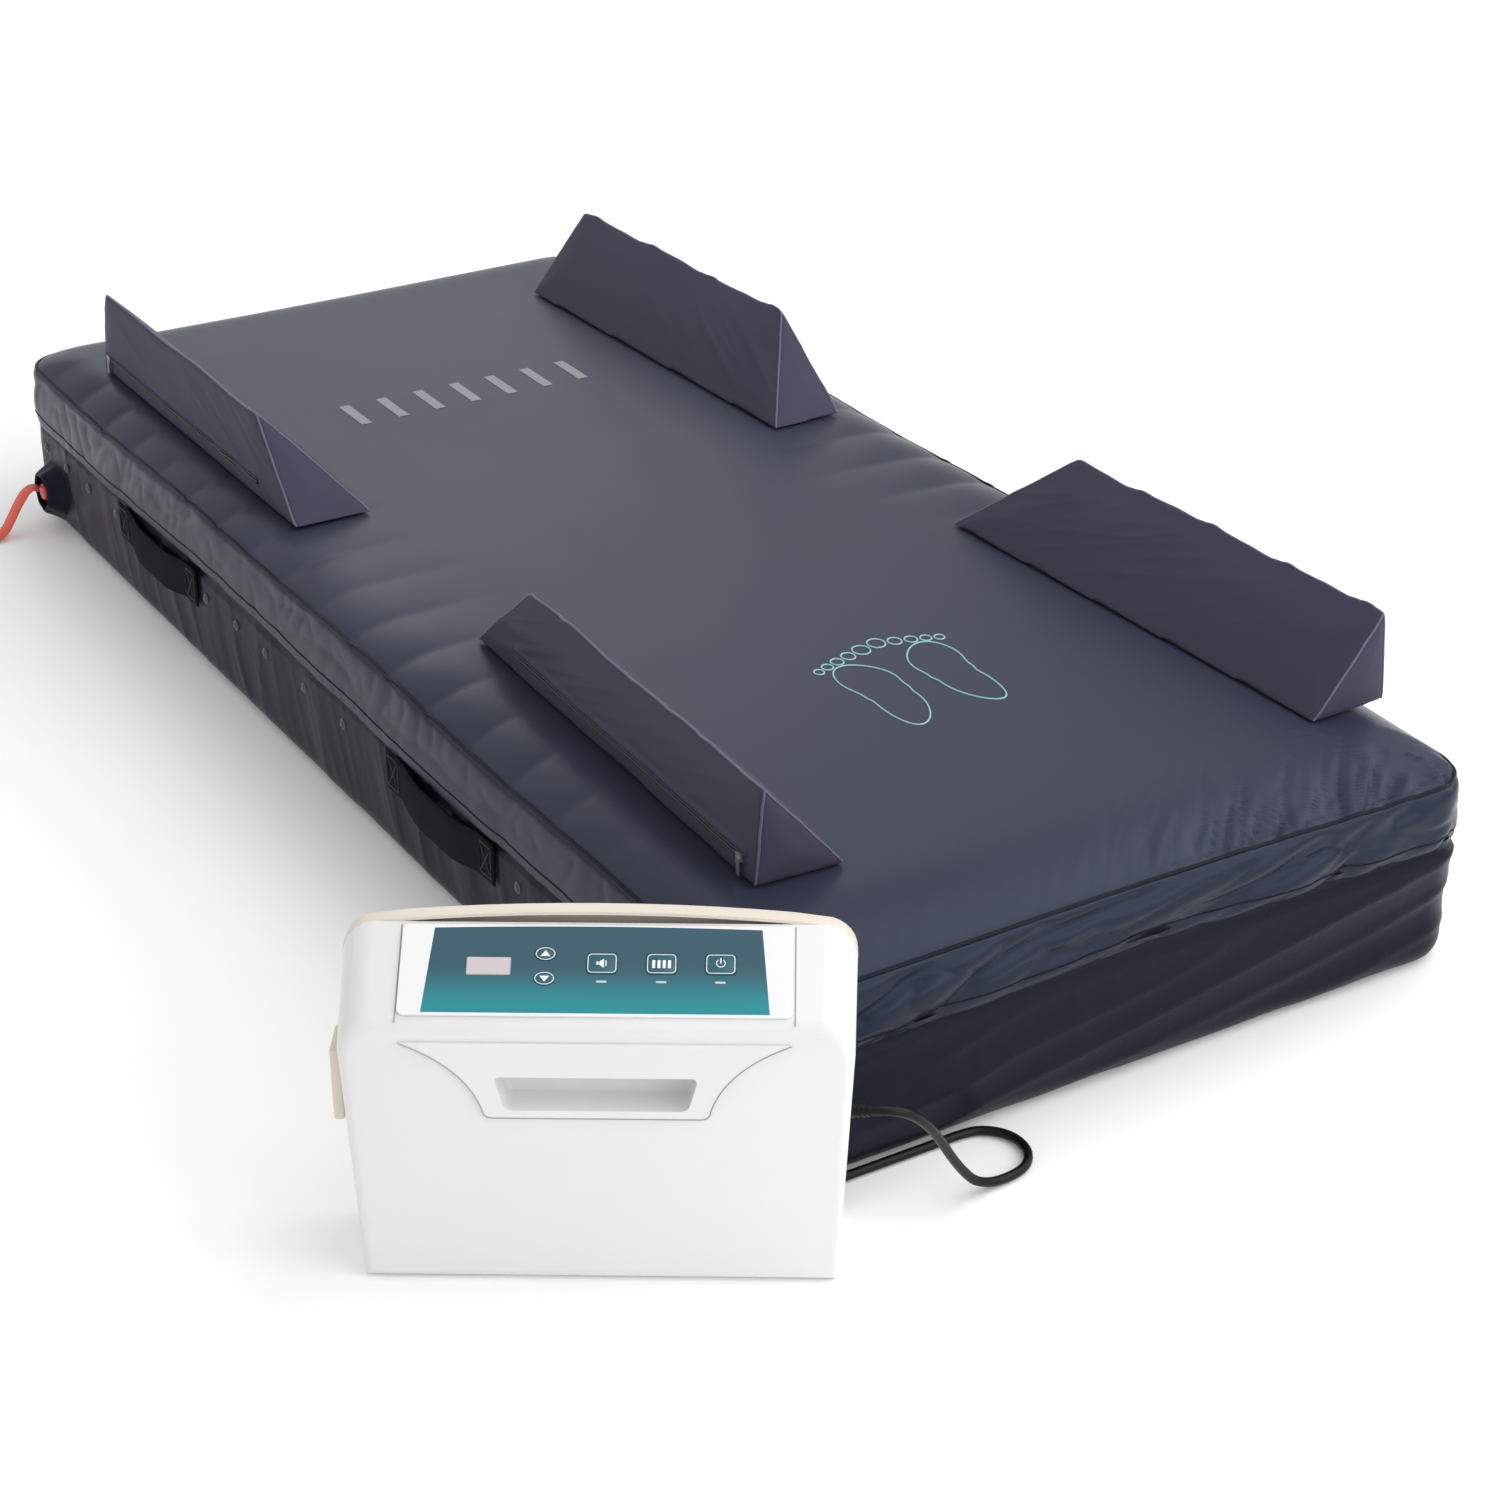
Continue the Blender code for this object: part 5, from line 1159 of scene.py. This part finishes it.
# Of the square buttons' rims
RIM_INSET = 0.0030
RIM_CORNER = 0.0036


def box_outline(left, bottom, right, top):
    return [(left, bottom), (right, bottom), (right, top), (left, top)]


# Filled outlines of each button's symbol, about the button's centre
ICONS = {
    "button_up": [[(-0.0045, -0.0025), (0.0045, -0.0025), (0.0, 0.0036)]],
    "button_down": [[(0.0045, 0.0025), (-0.0045, 0.0025), (0.0, -0.0036)]],
    "button_mute": [box_outline(-0.0052, -0.0016, -0.0030, 0.0016),
                    [(-0.0024, -0.0016), (0.0018, -0.0048), (0.0018, 0.0048), (-0.0024, 0.0016)],
                    box_outline(0.0032, -0.0030, 0.0042, 0.0030)],
    "button_static": [box_outline(x - 0.0014, -0.0046, x + 0.0014, 0.0036)
                      for x in (-0.0072, -0.0024, 0.0024, 0.0072)],
    "button_power": [box_outline(-0.0006, 0.0008, 0.0006, 0.0062)],
}
# The power symbol's ring: its gap is at the top, from the one angle round to the other
POWER_RING = 0.0040
POWER_RING_UP = 0.0010
POWER_SWEEP = (125, 415)
POWER_INK = 0.0005


def build_icons(white):
    for name, (across, up, width, height) in BUTTONS.items():
        for number, shape in enumerate(ICONS[name]):
            placed = [(across + x, up + y) for x, y in shape]
            icon = deck_plate(f"icon_{name}_{number}", placed, BUTTON_TOP - INK_ROOT, BUTTON_TOP + INK)
            dress(icon, white, name)
        if name in ROUND_BUTTONS:
            ring = [(across + 0.44 * width * math.cos(a), up + 0.43 * height * math.sin(a))
                    for a in np.linspace(0, 2 * math.pi, 32, endpoint=False)]
        else:
            ring = rounded(width - RIM_INSET, height - RIM_INSET, RIM_CORNER, (across, up))
        edge = tube(f"rim_{name}", [(x, y, BUTTON_TOP) for x, y in ring], RIM_RADIUS, DECK, 1, True)
        dress(edge, white, name)
    across, up = BUTTONS["button_power"][:2]
    ring = [(across + POWER_RING * math.cos(a), up + POWER_RING_UP + POWER_RING * math.sin(a), BUTTON_TOP)
            for a in np.radians(np.linspace(*POWER_SWEEP, 24))]
    arc = tube("icon_power_arc", ring, POWER_INK, DECK, 1)
    dress(arc, white, "button_power")


PANEL_TOP = 0.0030
PLATE_HALF = 0.0003
# Place across and up the deck, width and height
DISPLAY = (-0.0990, 0.0615, 0.0400, 0.0180)
DISPLAY_CORNER = 0.0012
DISPLAY_LINE = 0.00045
LAMP_SIZE = (0.0096, 0.0021, 0.0008)
LAMP_UP = 0.0462


def panel_plate(name, shape):
    return deck_plate(name, shape, PANEL_TOP - PLATE_HALF, PANEL_TOP + PLATE_HALF)


def build_panel_fittings(glass, lamp, dark):
    """The display window with its frame, and a small lamp under each square button."""
    x, y, width, height = DISPLAY
    shape = rounded(width, height, DISPLAY_CORNER, (x, y))
    window = panel_plate("display_window", shape)
    dress(window, glass, "pump")
    frame_line = tube("display_frame", [(a, b, PANEL_TOP) for a, b in shape], DISPLAY_LINE, DECK, 1, True)
    dress(frame_line, dark, "pump")
    for name in BUTTONS:
        if name not in ROUND_BUTTONS:
            led = panel_plate(f"lamp_{name}", rounded(*LAMP_SIZE, (BUTTONS[name][0], LAMP_UP)))
            dress(led, lamp, "pump")


# The printed field: half width at the fold, narrowing up the deck, top, its arch and bottom
FIELD_HALF = 0.1595
FIELD_TAPER = 0.087
FIELD_TOP = 0.1035
FIELD_ARCH = 0.10
FIELD_BOTTOM = 0.0135
# Between which heights up the deck the teal turns to slate
FIELD_FADE = (0.018, 0.066)
FILM_WHITE = (0.84, 0.84, 0.84)
FIELD_TEAL = (0.012, 0.245, 0.285)
FIELD_SLATE = (0.030, 0.088, 0.125)


def panel_material():
    """White film with a printed field that runs from slate at the top to teal at the bottom."""
    material, tree, shader = new_material("panel_film_print", (0.8, 0.8, 0.8), 0.32)
    place = tree.nodes.new("ShaderNodeTexCoord").outputs["Object"]
    axes = []
    turned_back = DECK.inverted()
    for row in range(2):
        dot = tree.nodes.new("ShaderNodeVectorMath")
        dot.operation = "DOT_PRODUCT"
        tree.links.new(place, dot.inputs[0])
        dot.inputs[1].default_value = turned_back[row][:3]
        axes.append(math_node(tree, "ADD", dot.outputs["Value"], turned_back[row][3]))
    across, up = axes
    half = math_node(tree, "SUBTRACT", FIELD_HALF, math_node(tree, "MULTIPLY", up, FIELD_TAPER))
    inside = math_node(tree, "LESS_THAN", math_node(tree, "ABSOLUTE", across), half)
    squared = math_node(tree, "MULTIPLY", across, across)
    arch = math_node(tree, "SUBTRACT", FIELD_TOP, math_node(tree, "MULTIPLY", squared, FIELD_ARCH))
    below = math_node(tree, "LESS_THAN", up, arch)
    above = math_node(tree, "GREATER_THAN", up, FIELD_BOTTOM)
    field = math_node(tree, "MULTIPLY", math_node(tree, "MULTIPLY", inside, below), above)
    blend = node(tree, "ShaderNodeMapRange", interpolation_type="SMOOTHSTEP")
    blend.inputs["From Min"].default_value, blend.inputs["From Max"].default_value = FIELD_FADE
    tree.links.new(up, blend.inputs["Value"])
    teal = mix_colour(tree, blend.outputs["Result"], FIELD_TEAL, FIELD_SLATE)
    tree.links.new(mix_colour(tree, field, FILM_WHITE, teal), shader.inputs["Base Color"])
    bump = bump_node(tree, noise_texture(tree, place, Scale=1600.0, Detail=1.0), 0.05, 0.0002)
    tree.links.new(bump.outputs["Normal"], shader.inputs["Normal"])
    return material


DECK_JOINT_ACROSS = 0.1815
DECK_JOINT_SPAN = (0.004, 0.106)
DECK_JOINT_RADIUS = 0.00055
# The grip's joint on the front: a curve from its upper end by a pull point to its corner, as x and z
GRIP_JOINT_CURVE = ((0.1785, 0.2660), (0.118, 0.240), (0.1045, 0.1935))
GRIP_JOINT_CORNER = 0.008
GRIP_JOINT_OUT = -0.0029
GRIP_JOINT_RADIUS = 0.0006
VENT_ROWS = 7
VENT_ACROSS = 0.150
VENT_LOWEST = 0.070
VENT_PITCH = 0.012
VENT_HALF = (0.030, 0.002)
SCREW_ACROSS = 0.195
SCREW_HEIGHTS = (0.030, 0.285)
# Radius and height out of the housing along the screw's head, down into its recess
SCREW_PROFILE = ((0.0042, -0.001), (0.0042, 0.0010), (0.0034, 0.0017), (0.0016, 0.0018), (0.0013, 0.0006))


def build_joints(material):
    """Moulding joints: one up each side of the deck, and one round the grip on the front."""
    for side, sign in (("left", -1), ("right", 1)):
        up_deck = [(sign * DECK_JOINT_ACROSS, v, 0.0002) for v in np.linspace(*DECK_JOINT_SPAN, 16)]
        joint = tube(f"deck_joint_{side}", up_deck, DECK_JOINT_RADIUS, DECK, 2)
        dress(joint, material, "pump")
    right = [tuple((1 - t) ** 2 * a + 2 * t * (1 - t) * b + t ** 2 * c for a, b, c in zip(*GRIP_JOINT_CURVE))
             for t in np.linspace(0, 1, 24)]
    x, z = right[-1]
    right += [(x + GRIP_JOINT_CORNER * (math.cos(a) - 1), z - GRIP_JOINT_CORNER * math.sin(a))
              for a in np.linspace(0, math.pi / 2, 6)[1:]]
    rim = [(x, GRIP_JOINT_OUT, z) for x, z in right + [(-x, z) for x, z in reversed(right)]]
    joint = tube("fascia_joint", rim, GRIP_JOINT_RADIUS, PUMP, 2)
    dress(joint, material, "pump")


def build_pump_back(dark, metal):
    """Vent slots, drawn as flat black plates that paint the shade in the openings, and screw heads on the
    pump's back.
    """
    upright = PUMP @ Matrix.Translation((0, BACK_FACE, 0)) @ Matrix.Rotation(math.pi / 2, 4, "X")
    wide, tall = VENT_HALF
    places = [(side * VENT_ACROSS, VENT_LOWEST + VENT_PITCH * row)
              for row in range(VENT_ROWS) for side in (-1, 1)]
    for number, (x, z) in enumerate(places):
        shape = box_outline(x - wide, z - tall, x + wide, z + tall)
        # Each slot is a black plate on the housing: painted shade for the opening.
        vent = deck_plate(f"vent_shade_plate_{number:02d}", shape, -0.0004, 0.0003, upright)
        dress(vent, dark, "pump")
    places = [PUMP @ Vector((x, BACK_FACE, z)) for x in (-SCREW_ACROSS, SCREW_ACROSS) for z in SCREW_HEIGHTS]
    heads = turned("rear_screws", SCREW_PROFILE, places, PUMP.to_3x3() @ Vector((0, 1, 0)), 16)
    dress(heads, metal, "pump")


WELD_DISTANCE = 0.00002
SHARP_ANGLE = math.radians(38.0)


def soften(node_name):
    """Smooth shading across a carried-over node's facets, with its real edges kept."""
    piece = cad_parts[node_name]
    weld = piece.modifiers.new("Weld", "WELD")
    weld.merge_threshold = WELD_DISTANCE
    split = piece.modifiers.new("Split", "EDGE_SPLIT")
    split.split_angle = SHARP_ANGLE
    smooth(piece)


# ---------------------------------------------------------------- floor and light

FLOOR_HALF = 9.0
FLOOR_HEIGHT = -0.0008
FLOOR_GLOW = 0.06
SKY = 0.74
# name: place, aim, size and power
LIGHTS = {
    "key": ((2.4, -1.6, 3.6), (0.0, -0.2, 0.2), 5.0, 120.0),
    "front": ((1.2, -4.8, 2.0), (-0.1, -0.9, 0.15), 3.2, 60.0),
    "rim": ((1.2, 4.0, 2.6), (0.0, 0.2, 0.2), 2.6, 14.0),
}


def build_stage():
    """A plain pale floor, an even white sky and three soft lights."""
    bm = bmesh.new()
    bmesh.ops.create_grid(bm, x_segments=2, y_segments=2, size=FLOOR_HALF)
    floor = mesh_of("floor", bm)
    floor.location.z = FLOOR_HEIGHT
    material, _, shader = new_material("floor_white", (0.97, 0.97, 0.97), 0.9)
    shader.inputs["Specular IOR Level"].default_value = 0.0
    shader.inputs["Emission Color"].default_value = (1, 1, 1, 1)
    shader.inputs["Emission Strength"].default_value = FLOOR_GLOW
    paint(floor, material)
    world = bpy.data.worlds.new("studio")
    world.use_nodes = True
    sky = world.node_tree.nodes["Background"]
    sky.inputs["Color"].default_value = (1, 1, 1, 1)
    sky.inputs["Strength"].default_value = SKY
    bpy.context.scene.world = world
    for name, (place, target, size, power) in LIGHTS.items():
        light = bpy.data.lights.new(name, "AREA")
        light.size = size
        light.energy = power
        lamp = bpy.data.objects.new(name, light)
        lamp.location = place
        lamp.rotation_mode = "QUATERNION"
        lamp.rotation_quaternion = (Vector(target) - Vector(place)).to_track_quat("-Z", "Y")
        bpy.context.scene.collection.objects.link(lamp)
    bpy.context.scene.view_settings.view_transform = "Standard"


# ---------------------------------------------------------------- assembly

build_camera()
LEAD = build_lead()

TOP_CLOTH = fabric("stretch_cover_cloth", (0.031, 0.035, 0.060), 0.33, weave=1500.0, bump=0.08, sheen=0.02,
                   mottle=0.07, specular=0.19, gleam=(0.62, 0.76, 1.0))
# The top's cloth made darker for the flap below the seam: painted shade.
FLAP_PAINTED_SHADE_CLOTH = fabric("stretch_cover_flap_painted_shade", (0.0165, 0.0185, 0.0320), 0.30, weave=1500.0, bump=0.08,
                    sheen=0.0, mottle=0.10, specular=0.24, gleam=(0.50, 0.68, 1.0))
BASE_CLOTH = fabric("base_cover_cloth", (0.0095, 0.0098, 0.0170), 0.36, weave=1300.0, bump=0.10, sheen=0.0,
                    mottle=0.20, wrinkle=0.10, specular=0.12, gleam=(0.62, 0.74, 1.0))
WEDGE_CLOTH = fabric("bolster_cloth", (0.052, 0.049, 0.080), 0.55, weave=1400.0, bump=0.10, sheen=0.03,
                     mottle=0.05, specular=0.16, gleam=(0.80, 0.80, 1.0))
# Lighter than the bolster's cloth: the real seams also carry a painted highlight along the ridge and the
# ends.
WEDGE_SEAM_HIGHLIGHT = fabric("bolster_seam_painted_highlight", (0.120, 0.114, 0.175), 0.45, weave=2400.0, bump=0.10, mottle=0.05,
                    sheen=0.05, specular=0.35)
WEBBING = fabric("black_webbing_weave", (0.010, 0.010, 0.012), 0.88, weave=1800.0, bump=0.5, mottle=0.15,
                 sheen=0.0, specular=0.10)
CORAL_WEBBING = fabric("coral_webbing_weave", (0.76, 0.115, 0.068), 0.70, weave=1800.0, bump=0.5, mottle=0.08)
BLACK_THREAD = fabric("black_thread", (0.03, 0.03, 0.035), 0.6, weave=3000.0, bump=0.4)
CORAL_THREAD = fabric("coral_thread", (0.60, 0.09, 0.05), 0.6, weave=3000.0, bump=0.4)
INK_PALE = plastic("pale_ink", (0.25, 0.26, 0.28), 0.60)
INK_TEAL = plastic("teal_ink", (0.30, 0.52, 0.55), 0.50)
WHITE = plastic("white_abs_shell", (0.78, 0.78, 0.78), 0.34, grain=0.05, mottle=0.02)
CREAM = plastic("cream_abs_shell", (0.74, 0.66, 0.58), 0.42, grain=0.06)
JOINT = plastic("moulding_joint", (0.34, 0.34, 0.35), 0.6)
BLACK = plastic("black_plastic_moulded", (0.014, 0.014, 0.016), 0.38, grain=0.08)
RUBBER = plastic("black_rubber_moulded", (0.006, 0.006, 0.007), 0.34, grain=0.06, specular=0.20)
STUD = plastic("press_stud", (0.050, 0.050, 0.055), 0.28, grain=0.05)
RED = plastic("red_plastic_moulded", (0.62, 0.04, 0.03), 0.35)
METAL = plastic("zinc_plated", (0.60, 0.60, 0.62), 0.30, metallic=1.0, grain=0.03)
ZIP = plastic("zip_black", (0.012, 0.012, 0.014), 0.35, grain=0.8, scale=900.0)
PULL = plastic("zip_pull_steel", (0.42, 0.42, 0.44), 0.32, metallic=0.9)
MOTOR = plastic("cast_motor", (0.18, 0.18, 0.19), 0.5, metallic=0.8, grain=0.2)
BOARD = plastic("board_green", (0.02, 0.16, 0.05), 0.45, grain=0.1)
PVC = plastic("tube_pvc_clear", (0.70, 0.73, 0.74), 0.25)
FILM = panel_material()
BUTTON_SLATE = plastic("button_film_slate", (0.024, 0.105, 0.140), 0.32, grain=0.03)
ICON_WHITE = plastic("icon_white", (0.86, 0.88, 0.88), 0.40)
GLASS = plastic("display_glass", (0.60, 0.54, 0.56), 0.18, grain=0.01, coat=0.5)
LAMP = plastic("lamp_lens", (0.55, 0.60, 0.60), 0.25)

paint(LEAD, RUBBER)
COVER, SEAM, HEM_RING, NORMALS = build_top_cover(TOP_CLOTH, FLAP_PAINTED_SHADE_CLOTH)
BASE = build_base_cover(BASE_CLOTH)
build_seams(BASE_CLOTH, SEAM, HEM_RING, NORMALS)
for bolster, placed_at in BOLSTERS.items():
    build_bolster(bolster, placed_at, WEDGE_CLOTH, WEDGE_SEAM_HIGHLIGHT, ZIP)
for handle_end in ("head", "foot"):
    for handle_side in ("left", "right"):
        build_handle(handle_end, handle_side, WEBBING, BLACK_THREAD)
build_studs(surface_of(BASE), STUD)
build_release(BASE_CLOTH, CORAL_WEBBING, CORAL_THREAD)
build_prints(surface_of(COVER), INK_TEAL, INK_PALE)
build_icons(ICON_WHITE)
build_panel_fittings(GLASS, LAMP, JOINT)
build_joints(JOINT)
build_pump_back(BLACK, METAL)

CARRIED = {
    WHITE: ("pump_front_housing", "pump_fascia"),
    CREAM: ("pump_rear_housing", "air_outlet_block"),
    FILM: ("control_panel",),
    BUTTON_SLATE: tuple(BUTTONS),
    BLACK: ("hose_coupling", "cpr_valve", "plug"),
    RUBBER: ("strain_relief",),
    RED: ("cpr_plug",),
    METAL: ("hanger",),
    MOTOR: ("compressor",),
    BOARD: ("circuit_board",),
    PVC: ("feed_tube_a", "feed_tube_b"),
    PULL: tuple(f"zip_slider_{label}" for label in BOLSTERS),
}
for carried_material, node_names in CARRIED.items():
    for node_name in node_names:
        paint(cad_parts[node_name], carried_material)
        soften(node_name)

build_stage()
